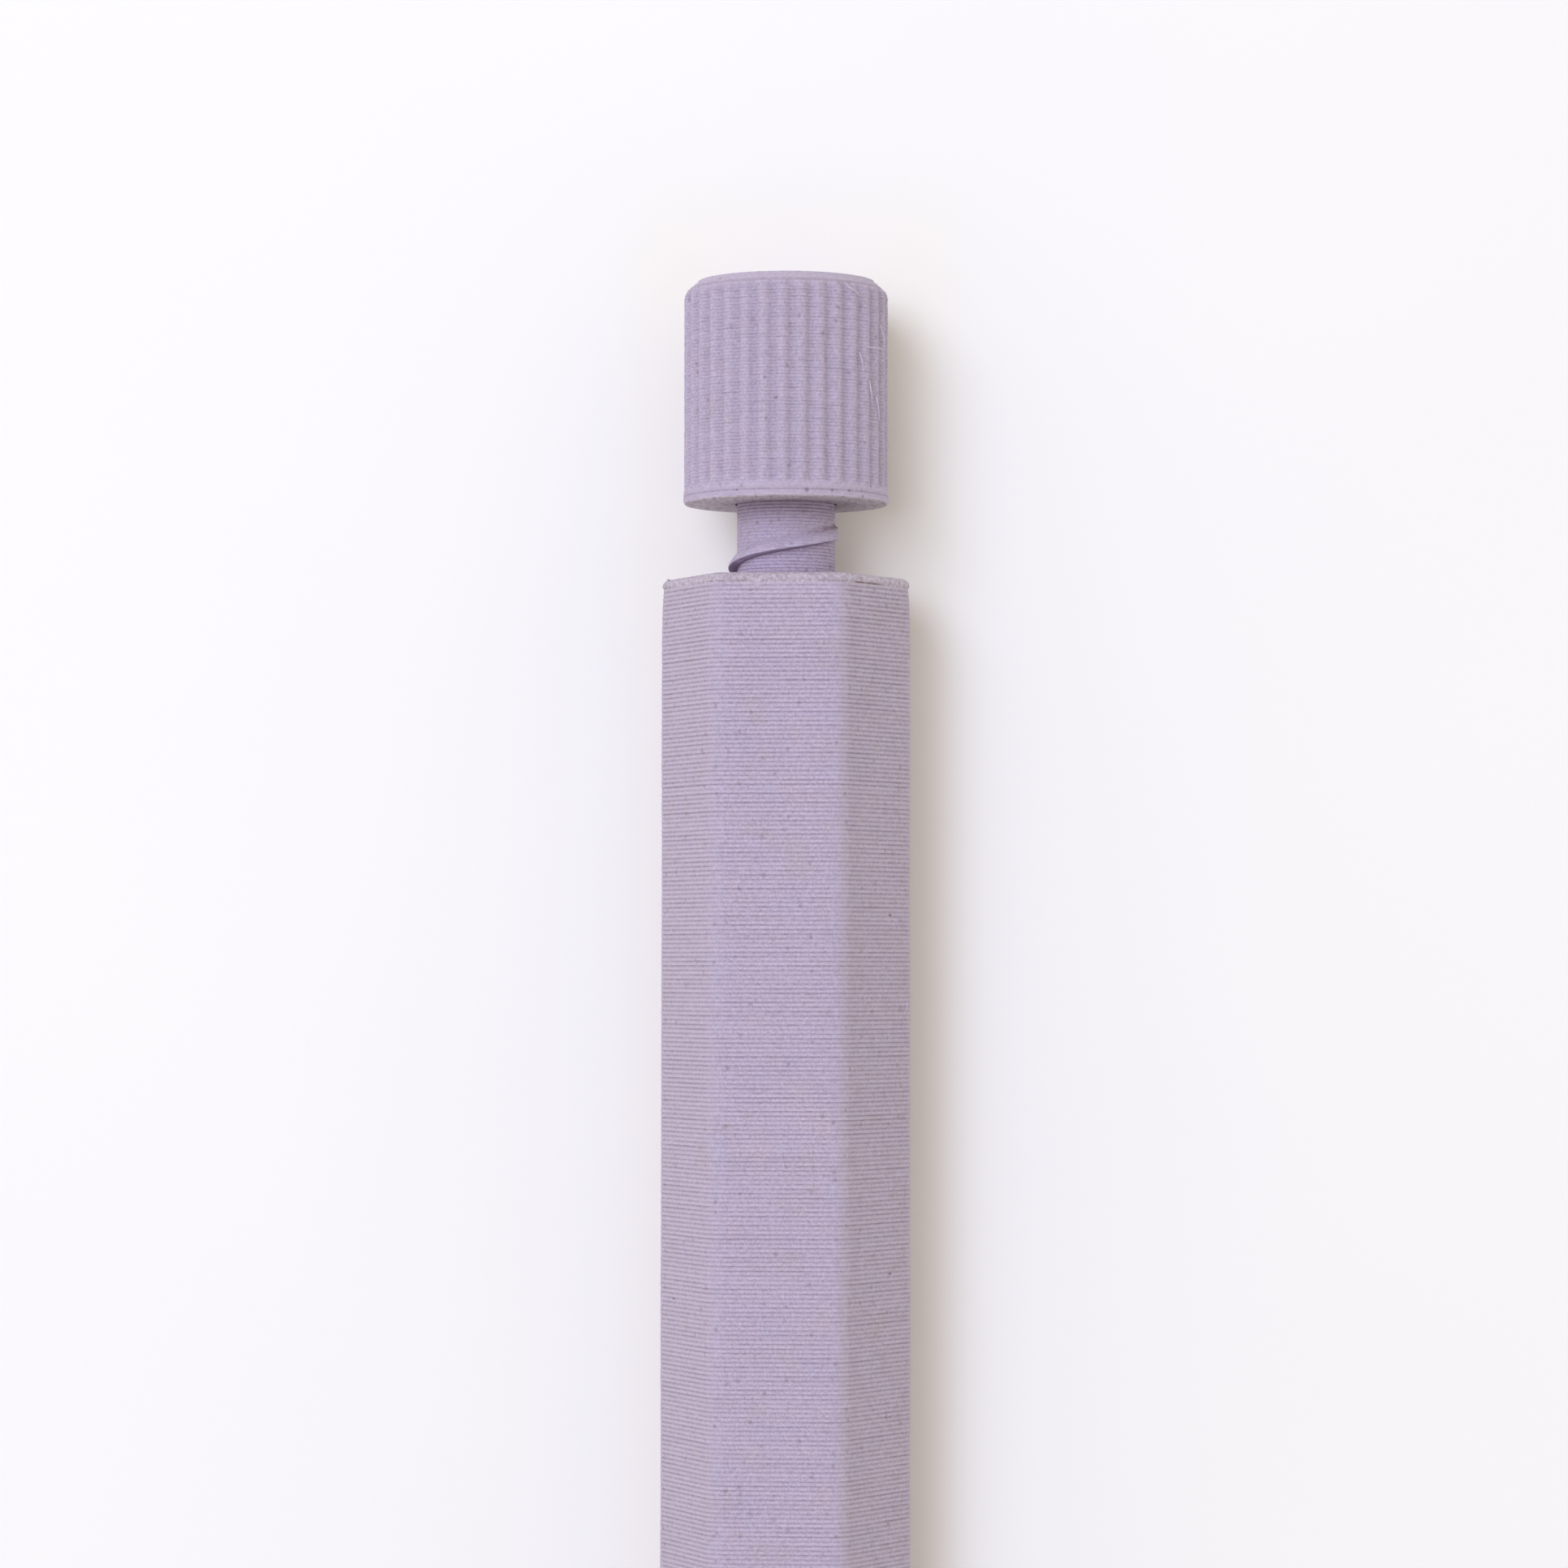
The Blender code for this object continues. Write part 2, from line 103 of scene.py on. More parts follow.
# %% A socket that can be calculated with
class Wire:
    """One value on its way through a material."""

    def __init__(self, tree, socket=None):
        self.tree, self.socket = tree, socket

    def node(self, kind, inputs=(), out=0, **settings):
        """Add a node of any type: its settings are made first, then its sockets get values or links."""
        made = self.tree.nodes.new("ShaderNode" + kind)
        for name, value in settings.items():
            setattr(made, name, value)
        for key, value in dict(inputs).items():
            if isinstance(value, Wire):
                self.tree.links.new(value.socket, made.inputs[key])
            else:
                made.inputs[key].default_value = value
        return Wire(self.tree, made.outputs[out])

    def other(self, name):
        """Another output of the node that this value comes from."""
        return Wire(self.tree, self.socket.node.outputs[name])

    def maths(self, operation, *others):
        return self.node("Math", dict(enumerate((self, *others))), operation=operation)

    __add__ = __radd__ = partialmethod(maths, "ADD")
    __sub__ = partialmethod(maths, "SUBTRACT")
    __mul__ = __rmul__ = partialmethod(maths, "MULTIPLY")
    __truediv__ = partialmethod(maths, "DIVIDE")
    __gt__ = partialmethod(maths, "GREATER_THAN")
    __lt__ = partialmethod(maths, "LESS_THAN")
    __abs__ = partialmethod(maths, "ABSOLUTE")
    larger = partialmethod(maths, "MAXIMUM")

    def __rsub__(self, value):
        return self.node("Math", {0: value, 1: self}, operation="SUBTRACT")

    def fade(self, start, end, low=0.0, high=1.0):
        """Go smoothly from low to high while this value goes from start to end."""
        limits = {"From Min": start, "From Max": end, "To Min": low, "To Max": high}
        return self.node("MapRange", {"Value": self, **limits}, interpolation_type="SMOOTHSTEP")

    def band(self, foot, rise, fall, end):
        """Go from 0 to 1 between foot and rise, and back to 0 between fall and end."""
        return self.fade(foot, rise) * self.fade(end, fall)

    def near(self, middle, inner, outer):
        """1 within the inner distance of a middle, fading to 0 at the outer one."""
        return abs(self - middle).fade(outer, inner)

    def noise(self, scale, detail=2.0, roughness=0.5):
        """Cloudy values round one half, taken at this place."""
        sockets = {"Vector": self, "Scale": scale, "Detail": detail, "Roughness": roughness}
        return self.node("TexNoise", sockets)

    def cells(self, scale):
        """Scattered points: how far off the nearest one is, and a random value that belongs to it."""
        distance = self.node("TexVoronoi", {"Vector": self, "Scale": scale}, out="Distance")
        return distance, self.node("SeparateColor", {0: distance.other("Color")})

    def split(self):
        """The three numbers of this place."""
        across = self.node("SeparateXYZ", {0: self}, out="X")
        return across, across.other("Y"), across.other("Z")

    def mix(self, first, second):
        """Blend two colours, with this value as the share of the second."""
        return self.node("Mix", {0: self, 6: to_light(first), 7: to_light(second)}, out=2, data_type="RGBA")

    def shade(self, tone):
        """Make this colour darker or lighter."""
        return self.node("VectorMath", {0: self, "Scale": tone}, operation="SCALE")

    def bump(self, strength, depth):
        """Let the surface look uneven, with this value as its height."""
        return self.node("Bump", {"Strength": strength, "Distance": depth, "Height": self})


def noise_at(across, along, up, detail, roughness=0.5):
    """Cloudy values, taken at a place that is put together from three numbers."""
    return across.node("CombineXYZ", {0: across, 1: along, 2: up}).noise(1.0, detail, roughness)


# %% Start and end a finish
def new_finish(name):
    """An empty material, and the wire that brings the place on the surface."""
    finish = bpy.data.materials.new(name)
    finish.use_nodes = True
    finish.node_tree.nodes.clear()
    return finish, Wire(finish.node_tree).node("TexCoord", out="Object")


def end_finish(finish, shader):
    """Let a material show this shader."""
    output = finish.node_tree.nodes.new("ShaderNodeOutputMaterial")
    finish.node_tree.links.new(shader.socket, output.inputs["Surface"])
    print("finish:", finish.name, "with", len(finish.node_tree.nodes), "nodes")
    return finish


def end_surface(finish, colour, rough, others=()):
    """Let a material show one Principled shader with this colour, this roughness and other values."""
    sockets = {"Base Color": colour, "Roughness": rough, **dict(others)}
    return end_finish(finish, colour.node("BsdfPrincipled", sockets))


def to_light(colour):
    """Turn a colour as a picture shows it, 0 to 255, into the light values that shaders use."""
    if isinstance(colour, Wire):
        return colour
    return (*(((value / 255 + 0.055) / 1.055) ** 2.4 for value in colour), 1.0)


print("shader helpers are ready")

# %% [markdown]
# ## Table and light
# The table is a plain white sheet. A backdrop could be curved up behind the pen, but from above
# only the table shows, so one wide sheet is enough. Beside the pen a warmer tinge of painted bounce
# light lies on it, and far from it the camera sees plain white, so that the sheet seems to have no end.
# One soft light hangs above, to the left, and is a little blue. The rest of the room sends back a
# warmer light that fills the shadows, more of it from the walls than from the ceiling.

# %% Lay the table
TABLE_REACH = 3.0
TABLE_WHITE = (250, 249, 250)
CLOUD_WHITE = (249, 248, 250)
BOUNCE_WARM_WHITE = (250, 247, 243)
PLAIN_WHITE = (0.11, 0.38)  # metres from the middle, from where to where it sets in


def to_mesh(name, form):
    """Turn a finished form into a mesh."""
    mesh = bpy.data.meshes.new(name)
    form.to_mesh(mesh)
    form.free()
    return mesh


def seen_directly(start):
    """1 for what the camera sees, also in metal and through glass, and 0 for light on its way."""
    ray = start.node("LightPath", out="Is Camera Ray")
    return ray.larger(ray.other("Is Transmission Ray")).larger(ray.other("Is Glossy Ray"))


table_form = bmesh.new()
bmesh.ops.create_grid(table_form, x_segments=8, y_segments=8, size=TABLE_REACH)
table = show("table", to_mesh("table", table_form))

paper, place = new_finish("white_sheet")
across, along = place.split()[:2]
colour = place.noise(35.0).fade(0.3, 0.7).mix(TABLE_WHITE, CLOUD_WHITE)
# painted warm bounce light on the sheet beside the pen
painted_bounce = abs(across).fade(9.5 * MM, 5.5 * MM) * abs(along).fade(78.0 * MM, 70.0 * MM)
colour = painted_bounce.mix(colour, BOUNCE_WARM_WHITE)
rough = place.noise(2500.0).fade(0.3, 0.7) * 0.1 + 0.7
sheet = place.node("BsdfPrincipled", {"Base Color": colour, "Roughness": rough, "Specular IOR Level": 0.2})
white = place.node("Emission", {"Color": to_light(TABLE_WHITE), "Strength": 1.0})
away = place.node("VectorMath", {0: place}, out="Value", operation="LENGTH")
share = away.fade(*PLAIN_WHITE) * seen_directly(place)
table.data.materials.append(end_finish(paper, place.node("MixShader", {0: share, 1: sheet, 2: white})))

# %% Hang the light
WINDOW = Vector((-0.185, 0.22, 0.58))
WINDOW_AIM = Vector((-0.05, 0.04, 0.0))
WINDOW_POWER = 2.36

window_data = bpy.data.lights.new("window", "AREA")
window_data.shape = "RECTANGLE"
window_data.size, window_data.size_y = 0.28, 0.50
window_data.energy = WINDOW_POWER
window_data.color = (0.72, 0.785, 1.0)
window = show("window", window_data)
window.location = WINDOW
window.rotation_euler = (WINDOW - WINDOW_AIM).to_track_quat("Z", "Y").to_euler()
print("light:", window.name, WINDOW_POWER, "W")

# %% Light the room
ROOM_LIGHT = (1.0, 0.940, 0.800, 1.0)
WALL_STRENGTH = 0.98
CEILING_STRENGTH = 0.515

room = bpy.data.worlds.new("room")
room.use_nodes = True
room.node_tree.nodes.clear()
start = Wire(room.node_tree)
walls = start.node("Background", {"Color": ROOM_LIGHT, "Strength": WALL_STRENGTH})
ceiling = start.node("Background", {"Color": ROOM_LIGHT, "Strength": CEILING_STRENGTH})
height = start.node("TexCoord", out="Generated").split()[2].larger(0.0)
ambient = start.node("MixShader", {0: height, 1: walls, 2: ceiling})
backdrop = start.node("Background", {"Color": to_light(TABLE_WHITE), "Strength": 1.0})
sky = start.node("MixShader", {0: seen_directly(start), 1: ambient, 2: backdrop})
room_output = room.node_tree.nodes.new("ShaderNodeOutputWorld")
room.node_tree.links.new(sky.socket, room_output.inputs["Surface"])
bpy.context.scene.world = room
print("room light from", WALL_STRENGTH, "to", CEILING_STRENGTH)

# %% [markdown]
# ## Making forms from rings
# Every printed piece is a stack of rings, so one helper turns rings of points into a closed skin.
# Angles are measured from the pen's top and grow to the right, and lengths run along the pen.


# %% Helpers for ringed forms
def around(radius, angle, along):
    """Points at a radius and angle about the pen's middle line."""
    radius, angle, along = np.broadcast_arrays(radius, angle, along)
    return np.stack([radius * np.sin(angle), along, AXIS + radius * np.cos(angle)], axis=-1)


def skin(name, rings, closed=False):
    """Bridge rings of equal count into a mesh. A closed run meets itself, an open one gets flat ends."""
    rings = np.asarray(rings)
    count, points = rings.shape[:2]
    index = np.arange(count * points).reshape(count, points)
    low = index if closed else index[:-1]
    high = np.roll(index, -1, axis=0) if closed else index[1:]
    quads = np.stack([low, np.roll(low, -1, axis=1), np.roll(high, -1, axis=1), high], axis=-1)
    faces = quads.reshape(-1, 4).tolist()
    if not closed:
        faces += [index[0].tolist(), index[-1].tolist()]
    mesh = bpy.data.meshes.new(name)
    mesh.from_pydata(rings.reshape(-1, 3).tolist(), [], faces)
    form = bmesh.new()
    form.from_mesh(mesh)
    bmesh.ops.recalc_face_normals(form, faces=form.faces)
    form.to_mesh(mesh)
    form.free()
    return mesh


def soften(mesh, sharp=30):
    """Smooth shading that breaks at folds sharper than an angle in degrees."""
    mesh.shade_smooth()
    mesh.set_sharp_from_angle(angle=radians(sharp))


def add_piece(name, mesh, sharp=30):
    soften(mesh, sharp)
    return show(name, mesh)


def cut(piece, cutter_mesh):
    """Take one closed form out of another, for good."""
    cutter = add_piece("cutter", cutter_mesh)
    change = piece.modifiers.new("cut", "BOOLEAN")
    change.operation, change.solver, change.object = "DIFFERENCE", "MANIFOLD", cutter
    depsgraph = bpy.context.evaluated_depsgraph_get()
    result = bpy.data.meshes.new_from_object(piece.evaluated_get(depsgraph))
    piece.modifiers.clear()
    piece.data = result
    bpy.data.objects.remove(cutter)


def attach(piece, body, finish):
    """Let a piece move with a body and take its finish."""
    piece.data.materials.clear()
    piece.data.materials.append(finish)
    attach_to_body(piece, body)


def dress(piece, node, body, finish):
    """Let a piece stand for a solid of the frame."""
    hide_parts(node)
    attach(piece, body, finish)
    triangles = sum(len(face.vertices) - 2 for face in piece.data.polygons)
    print(f"{piece.name}: {triangles} triangles")


# %% Helpers for uneven prints
def ease(share):
    """Go smoothly from 0 to 1 as the share does, and stay there beyond."""
    share = np.clip(share, 0.0, 1.0)
    return share * share * (3 - 2 * share)


def bell(value, height, middle, width):
    """A soft rise round one place."""
    return height * np.exp(-((value - middle) / width) ** 2)


def smooth_random(random, layers, marks, points):
    """Random values per layer that change slowly round the ring, from -1 to 1."""
    values = random.uniform(-1.0, 1.0, (layers, marks))
    where = np.arange(points) * marks / points
    before = where.astype(int)
    share = ease(where - before)
    return values[:, before] * (1 - share) + values[:, (before + 1) % marks] * share


print("form helpers are ready")

# %% [markdown]
# ## Barrel
# The barrel is a six-sided bar with rounded corners, 10 mm across, sharpened like a pencil at the
# tip. It was printed standing on its rear end, so each layer is a thin slice across it. A bump
# texture could draw the lines, but real beads catch the light at the outline too, so every layer
# gets three rings: a groove and the two shoulders of a flat-topped bead. No two layers sit quite
# alike. The first ones, pressed on the printer's plate, make a smooth strip with a rounded edge,
# and just under it the barrel draws in, most of all at its corners.

# %% Outline of the barrel
TIP = -70.0 * MM
REAR = 56.6 * MM
CORNER_RADIUS = 1.0 * MM
CORNER_REACH = (AXIS - CORNER_RADIUS) / cos(pi / 6)
NOSE_LENGTH = 15.0 * MM
NOSE_RADIUS = 2.2 * MM
NOSE_ROUNDING = 0.4 * MM
CORNER_STEPS = 3
FLAT_STEPS = 5


def outwards(angle):
    """The direction, across the pen, of an angle from its top."""
    return np.array([sin(angle), cos(angle)])


outline, facing = [], []
for corner in range(6):
    middle = pi / 6 + corner * pi / 3
    heart = outwards(middle) * CORNER_REACH
    following = outwards(middle + pi / 3) * CORNER_REACH
    for step in range(CORNER_STEPS + 1):
        facing.append(outwards(middle + (step / CORNER_STEPS - 0.5) * pi / 3))
        outline.append(heart + facing[-1] * CORNER_RADIUS)
    for step in range(1, FLAT_STEPS):
        facing.append(outwards(middle + pi / 6))
        outline.append(heart + (following - heart) * step / FLAT_STEPS + facing[-1] * CORNER_RADIUS)
outline, facing = np.array(outline), np.array(facing)
reach = np.hypot(outline[:, 0], outline[:, 1])
BARREL_POINTS = len(outline)
print("points round the barrel:", BARREL_POINTS)


# %% One ring of the barrel
def nose_limit(along):
    """The radius that the sharpened nose leaves at a place along the pen."""
    slope = (CORNER_REACH + CORNER_RADIUS - NOSE_RADIUS) / NOSE_LENGTH
    past = TIP + NOSE_ROUNDING - along
    if past > 0:
        return NOSE_RADIUS - NOSE_ROUNDING + (NOSE_ROUNDING**2 - min(past, NOSE_ROUNDING)**2) ** 0.5
    return NOSE_RADIUS - slope * past


def barrel_ring(shape_at, along, offset):
    """The outline at one place, trimmed to the nose as it is at shape_at, and moved out by an offset."""
    limit = nose_limit(shape_at)
    trimmed = (reach > limit)[:, None]
    inward = outline / reach[:, None]
    base = np.where(trimmed, inward * limit, outline)
    out = base + np.where(trimmed, inward, facing) * np.reshape(offset, (-1, 1))
    return np.stack([out[:, 0], np.full(len(out), along), AXIS + out[:, 1]], axis=-1)


# %% How uneven the barrel's layers are
LAYER = 0.2 * MM
STRIP = 0.40 * MM  # the first layers, pressed into one smooth strip
GROOVE = 0.026 * MM
DRIFT = 0.005 * MM  # slow wandering of the whole outline
DRIFT_LAYERS = 61
SHIFT = 0.0022 * MM  # how far a layer sits in or out
SHIFT_LIMITS = (-0.05 * MM, 0.018 * MM)
STRAY_SHARE = 0.015  # share of layers that sit clearly too far in
STRAY_SHIFT = (0.008, 0.02)  # mm
WAVE = 0.006 * MM
SEAM_POINT = 17  # where each layer starts and ends
SEAM_BUMP = (-0.02, 0.07)  # mm
random = np.random.default_rng(41)

layers = round((REAR - TIP - STRIP) / LAYER)
pitch = (REAR - TIP - STRIP) / layers
drift = random.normal(0.0, 1.0, layers + DRIFT_LAYERS - 1)
drift = np.convolve(drift, np.hanning(DRIFT_LAYERS), "valid")[:layers]
drift *= DRIFT / drift.std()
shift = random.normal(0.0, SHIFT, layers) + drift
stray = random.random(layers) < STRAY_SHARE
shift = np.clip(shift - stray * random.uniform(*STRAY_SHIFT, layers) * MM, *SHIFT_LIMITS)
wave = smooth_random(random, layers, 12, BARREL_POINTS) * WAVE
depth = GROOVE * (1.0 + 0.4 * smooth_random(random, layers, 24, BARREL_POINTS))
seam = np.zeros((layers, BARREL_POINTS))
seam[:, SEAM_POINT] = random.uniform(*SEAM_BUMP, layers) * MM
print(layers, "layers of", round(pitch / MM, 4), "mm")

# %% Stack the barrel's layers
BEAD = (0.0, 0.24, 0.76)  # groove and the bead's two shoulders, in layers
PINCH = 0.10 * MM  # how far the barrel draws in just under the strip
PINCH_RUN = 0.8 * MM
PINCH_FLAT = 0.25  # share of it on the flats
EDGE = ((0.0, 0.32), (0.04, 0.21), (0.10, 0.12), (0.19, 0.055), (0.29, 0.03), (0.37, 0.05))  # mm down and in

corner_share = np.clip((reach - AXIS) / (CORNER_REACH + CORNER_RADIUS - AXIS), 0.0, 1.0)
pinched = PINCH_FLAT + (1 - PINCH_FLAT) * corner_share ** 2
rings = [barrel_ring(REAR, REAR - down * MM, -inset * MM) for down, inset in EDGE]
for layer in range(layers):
    top = REAR - STRIP - layer * pitch
    middle = top - pitch / 2
    draw_in = -PINCH * pinched * np.exp(-layer * pitch / PINCH_RUN)
    for share in BEAD:
        groove = share == 0.0
        offset = shift[layer] + wave[layer] + seam[layer] + draw_in - groove * depth[layer]
        rings.append(barrel_ring(middle, top - share * pitch, offset))
rings.append(barrel_ring(TIP, TIP, 0.0))
barrel = add_piece("printed_barrel", skin("printed_barrel", rings))
print("rings in the barrel:", len(rings))

# %% [markdown]
# The bore is stepped: wide for the stem and the spring, narrower for the refill, and narrowest at
# the nose. A helical groove lets the stem's ridge through. Both are plain closed forms that a
# Boolean takes out of the stacked layers, which is simpler than folding the rings inside.

# %% Bore the barrel
BORE = 2.35 * MM
GUIDE = 1.75 * MM
NOSE_HOLE = 1.35 * MM
SHOULDER = -49.4 * MM
GUIDE_END = -62.88 * MM
ROUND = np.arange(72) * tau / 72
PAST = 2.0 * MM  # how far a cutter reaches out of the barrel

bore_outline = [(BORE, REAR + PAST), (BORE, SHOULDER), (GUIDE, SHOULDER), (GUIDE, GUIDE_END),
                (NOSE_HOLE, GUIDE_END), (NOSE_HOLE, TIP - PAST)]
cut(barrel, skin("bore", [around(radius, ROUND, along) for radius, along in bore_outline]))
print("bore cut:", len(barrel.data.polygons), "faces")

# %% Cut the screw groove
STEM = 2.2 * MM
LEAD = 2.2 * MM
RIDGE_START = REAR + 1.15 * MM  # where the ridge's lower flank crosses the pen's top
RIDGE_HEIGHT = 0.4 * MM
RIDGE_WIDTH = 0.65 * MM
TIP_LEAN = 0.12 / 0.4
KNOB_LEAN = 0.35 / 0.4
RIDGE_ROOT = 0.3 * MM
RIDGE_TURNS = 4.4
RIDGE_FIRST = radians(120) - RIDGE_TURNS * tau
TRAVEL = 3.08 * MM
SLACK = 0.2 * MM
SAG_ROOM = 0.12 * MM  # more room on the side to which the ridge sags
GROOVE_REST = 0.3 * MM  # how far the groove goes on past the ridge's travel
GROOVE_STEPS = 320


def groove_ring(angle):
    """A section of the groove: the ridge's own section with room all round."""
    foot = RIDGE_START + LEAD * angle / tau
    crest = RIDGE_HEIGHT + SLACK
    section = [(-RIDGE_ROOT, -TIP_LEAN * RIDGE_ROOT - SLACK - SAG_ROOM),
               (crest, TIP_LEAN * crest - SLACK - SAG_ROOM),
               (crest, RIDGE_WIDTH - KNOB_LEAN * crest + SLACK),
               (-RIDGE_ROOT, RIDGE_WIDTH + KNOB_LEAN * RIDGE_ROOT + SLACK)]
    return [around(STEM + rise, angle, foot + along) for rise, along in section]


groove_first = RIDGE_FIRST - (TRAVEL + GROOVE_REST) * tau / LEAD
groove_last = (REAR + PAST - RIDGE_START) * tau / LEAD
turns = np.linspace(groove_first, groove_last, GROOVE_STEPS)
cut(barrel, skin("screw_groove", [groove_ring(angle) for angle in turns]))
soften(barrel.data)
print("groove cut:", len(barrel.data.polygons), "faces")

# %% [markdown]
# ## Knob
# The knob is a short drum with 33 soft ribs for the thumb, a plain ring at its foot and a chamfer
# round its top. The ribs could be separate bars, but on the print each layer is one wavy loop of
# plastic, so the wave goes into the rings themselves and the beads follow it. The drum eases into
# the chamfer, and two loops of a bead run round its top face.

# %% Outline of the knob
KNOB_FOOT = 60.0 * MM
KNOB_TOP = 70.06 * MM
KNOB_RADIUS = 4.6 * MM
KNOB_CHAMFER = 0.67 * MM  # how far the chamfer goes in
CHAMFER_HEIGHT = 0.55 * MM
RIM_EASE = 0.05 * MM  # the drum draws in a little before the chamfer starts
RIM_EASE_LENGTH = 0.35 * MM
RING_HEIGHT = 0.6 * MM
RIB_COUNT = 33
RIB_DEPTH = 0.165 * MM
RIB_PHASE = radians(-3.3)
RIB_SHARPNESS = 1.3
KNOB_ANGLES = np.arange(RIB_COUNT * 12) * tau / (RIB_COUNT * 12)

rib_wave = (0.5 + 0.5 * np.cos(RIB_COUNT * (KNOB_ANGLES - RIB_PHASE))) ** RIB_SHARPNESS
rib_foot = KNOB_FOOT + RING_HEIGHT
top_rim = KNOB_RADIUS - KNOB_CHAMFER
chamfer_foot = KNOB_TOP - CHAMFER_HEIGHT


def knob_radius(along):
    """The ribbed outline, which grows out of the ring and is trimmed by the chamfer's cone."""
    grown = np.clip((along - rib_foot) / RIB_DEPTH, 0.0, 1.0)
    past = along - chamfer_foot
    cone = KNOB_RADIUS - max(0.0, past) * KNOB_CHAMFER / CHAMFER_HEIGHT
    eased = RIM_EASE * np.clip(1.0 + past / RIM_EASE_LENGTH, 0.0, 1.0) ** 2
    eased *= 1.0 - max(0.0, past) / CHAMFER_HEIGHT
    return np.minimum(cone, KNOB_RADIUS - RIB_DEPTH * grown * rib_wave) - eased


print(RIB_COUNT, "ribs,", round(RIB_DEPTH / MM, 3), "mm deep")

# %% Stack the knob's layers
KNOB_LAYER = 0.15 * MM
KNOB_GROOVE = 0.016 * MM
KNOB_SHIFT = 0.003 * MM
KNOB_SHIFT_LIMITS = (-0.01 * MM, 0.008 * MM)
KNOB_WAVE = 0.008 * MM
ROUGH_EDGE = 0.02 * MM
SOFTENING = 0.35  # how much of the slope shows within one bead
TOP_FACE = ((0.82, 0.02), (0.74, 0.0), (0.46, 0.0), (0.40, 0.025), (0.34, 0.0), (0.06, 0.0))  # mm in and down
RING = ((0.02, 0.60, 0), (-0.015, 0.55, 0), (-0.015, 0.33, 1), (0.01, 0.30, 1),
        (-0.02, 0.26, 1), (-0.03, 0.15, 2), (-0.01, 0.05, 3), (0.05, 0.0, 0))  # mm in, mm up, rough edge
random = np.random.default_rng(7)

knob_layers = round((KNOB_TOP - rib_foot) / KNOB_LAYER)
knob_pitch = (KNOB_TOP - rib_foot) / knob_layers
knob_count = len(KNOB_ANGLES)
knob_shift = np.clip(random.normal(0.0, KNOB_SHIFT, knob_layers), *KNOB_SHIFT_LIMITS)
knob_wave = smooth_random(random, knob_layers, 44, knob_count) * KNOB_WAVE
knob_depth = KNOB_GROOVE * (0.9 + 0.6 * smooth_random(random, knob_layers, 66, knob_count))
rough_edge = smooth_random(random, 4, 99, knob_count) * ROUGH_EDGE

knob_rings = [around(top_rim - inset * MM, KNOB_ANGLES, KNOB_TOP - down * MM) for inset, down in TOP_FACE]
for layer in reversed(range(knob_layers)):
    top = rib_foot + (layer + 1) * knob_pitch
    for share in BEAD:
        groove = share == 0.0 and layer < knob_layers - 1
        softened = top - (0.5 + SOFTENING * (share - 0.5)) * knob_pitch
        radius = knob_radius(softened) + knob_shift[layer] + knob_wave[layer] - groove * knob_depth[layer]
        knob_rings.append(around(radius, KNOB_ANGLES, top - share * knob_pitch))
for inset, above, rough in RING:
    radius = KNOB_RADIUS - inset * MM + (rough > 0) * rough_edge[rough]
    knob_rings.append(around(radius, KNOB_ANGLES, KNOB_FOOT + above * MM))
print(knob_layers, "knob layers of", round(knob_pitch / MM, 4), "mm")

# %% Close the knob with its keyed socket
SOCKET = 2.3 * MM
SOCKET_DEPTH = 6.0 * MM
KEY_DEPTH = 0.5 * MM
KEY_FOOT = KNOB_FOOT + 1.3 * MM


def keyed(radius, depth, angles):
    """A circle with one flat on the side that faces down, so that stem and socket turn together."""
    flat = radius - depth
    return np.minimum(radius, flat / np.maximum(-np.cos(angles), flat / radius))


keyed_socket = keyed(SOCKET, KEY_DEPTH, KNOB_ANGLES)
for radius, along in ((SOCKET, KNOB_FOOT), (SOCKET, KEY_FOOT), (keyed_socket, KEY_FOOT + KEY_DEPTH),
                      (keyed_socket, KNOB_FOOT + SOCKET_DEPTH)):
    knob_rings.append(around(radius, KNOB_ANGLES, along))
knob = add_piece("printed_knob", skin("printed_knob", knob_rings))
print("rings in the knob:", len(knob_rings))

# %% [markdown]
# ## Screw stem
# The stem is a round rod with one coarse ridge wound round it. The ridge could be a coil laid on
# the rod, but on the print both are one skin, so the rings of the rod swell where the ridge passes.
# Its side towards the tip is steep, and the other one runs out softly. The overhang sags at the
# left, stands a little high at the right, and has a loose bead there.

# %% The ridge on the stem
STEM_ANGLES = np.arange(120) * tau / 120
RIDGE_END = radians(155)
RUN_OUT = radians(140)
RIDGE_TAIL = 0.80 * MM
RIDGE_EDGE = 0.10 * MM
STEEP = 0.05 / 0.4
DROOP = (0.20 * MM, radians(-100), radians(50))  # how far the overhang sags, where, and how widely
LIFT = (0.10 * MM, radians(72), radians(40))  # the other end stands a little high
LOOSE_BEAD = (0.13 * MM, 0.56 * MM, 0.06 * MM)  # its height, its place on the soft side, its width
LOOSE_PLACE = (1.0, radians(85), radians(22))


def ridge_rise(along):
    """How far the ridge stands out of the stem at each angle of one layer."""
    rise = np.zeros(len(STEM_ANGLES))
    for turn_count in range(-6, 2):
        angle = STEM_ANGLES + turn_count * tau
        inside = (angle >= RIDGE_FIRST) & (angle <= RIDGE_END)
        fade = np.minimum(1.0, np.minimum((RIDGE_END - angle) / RUN_OUT, (angle - RIDGE_FIRST) / RUN_OUT))
        past = along - (RIDGE_START + LEAD * angle / tau) + bell(angle, *DROOP) - bell(angle, *LIFT)
        down = ease((past - RIDGE_EDGE) / (RIDGE_TAIL - RIDGE_EDGE))
        soft_side = fade * RIDGE_HEIGHT * (1 - down) + bell(past, *LOOSE_BEAD) * bell(angle, *LOOSE_PLACE)
        rise = np.maximum(rise, np.where(inside, np.minimum(past / STEEP, soft_side), 0.0))
    return rise


print("ridge from", round(RIDGE_FIRST / tau, 2), "to", round(RIDGE_END / tau, 2), "turns")

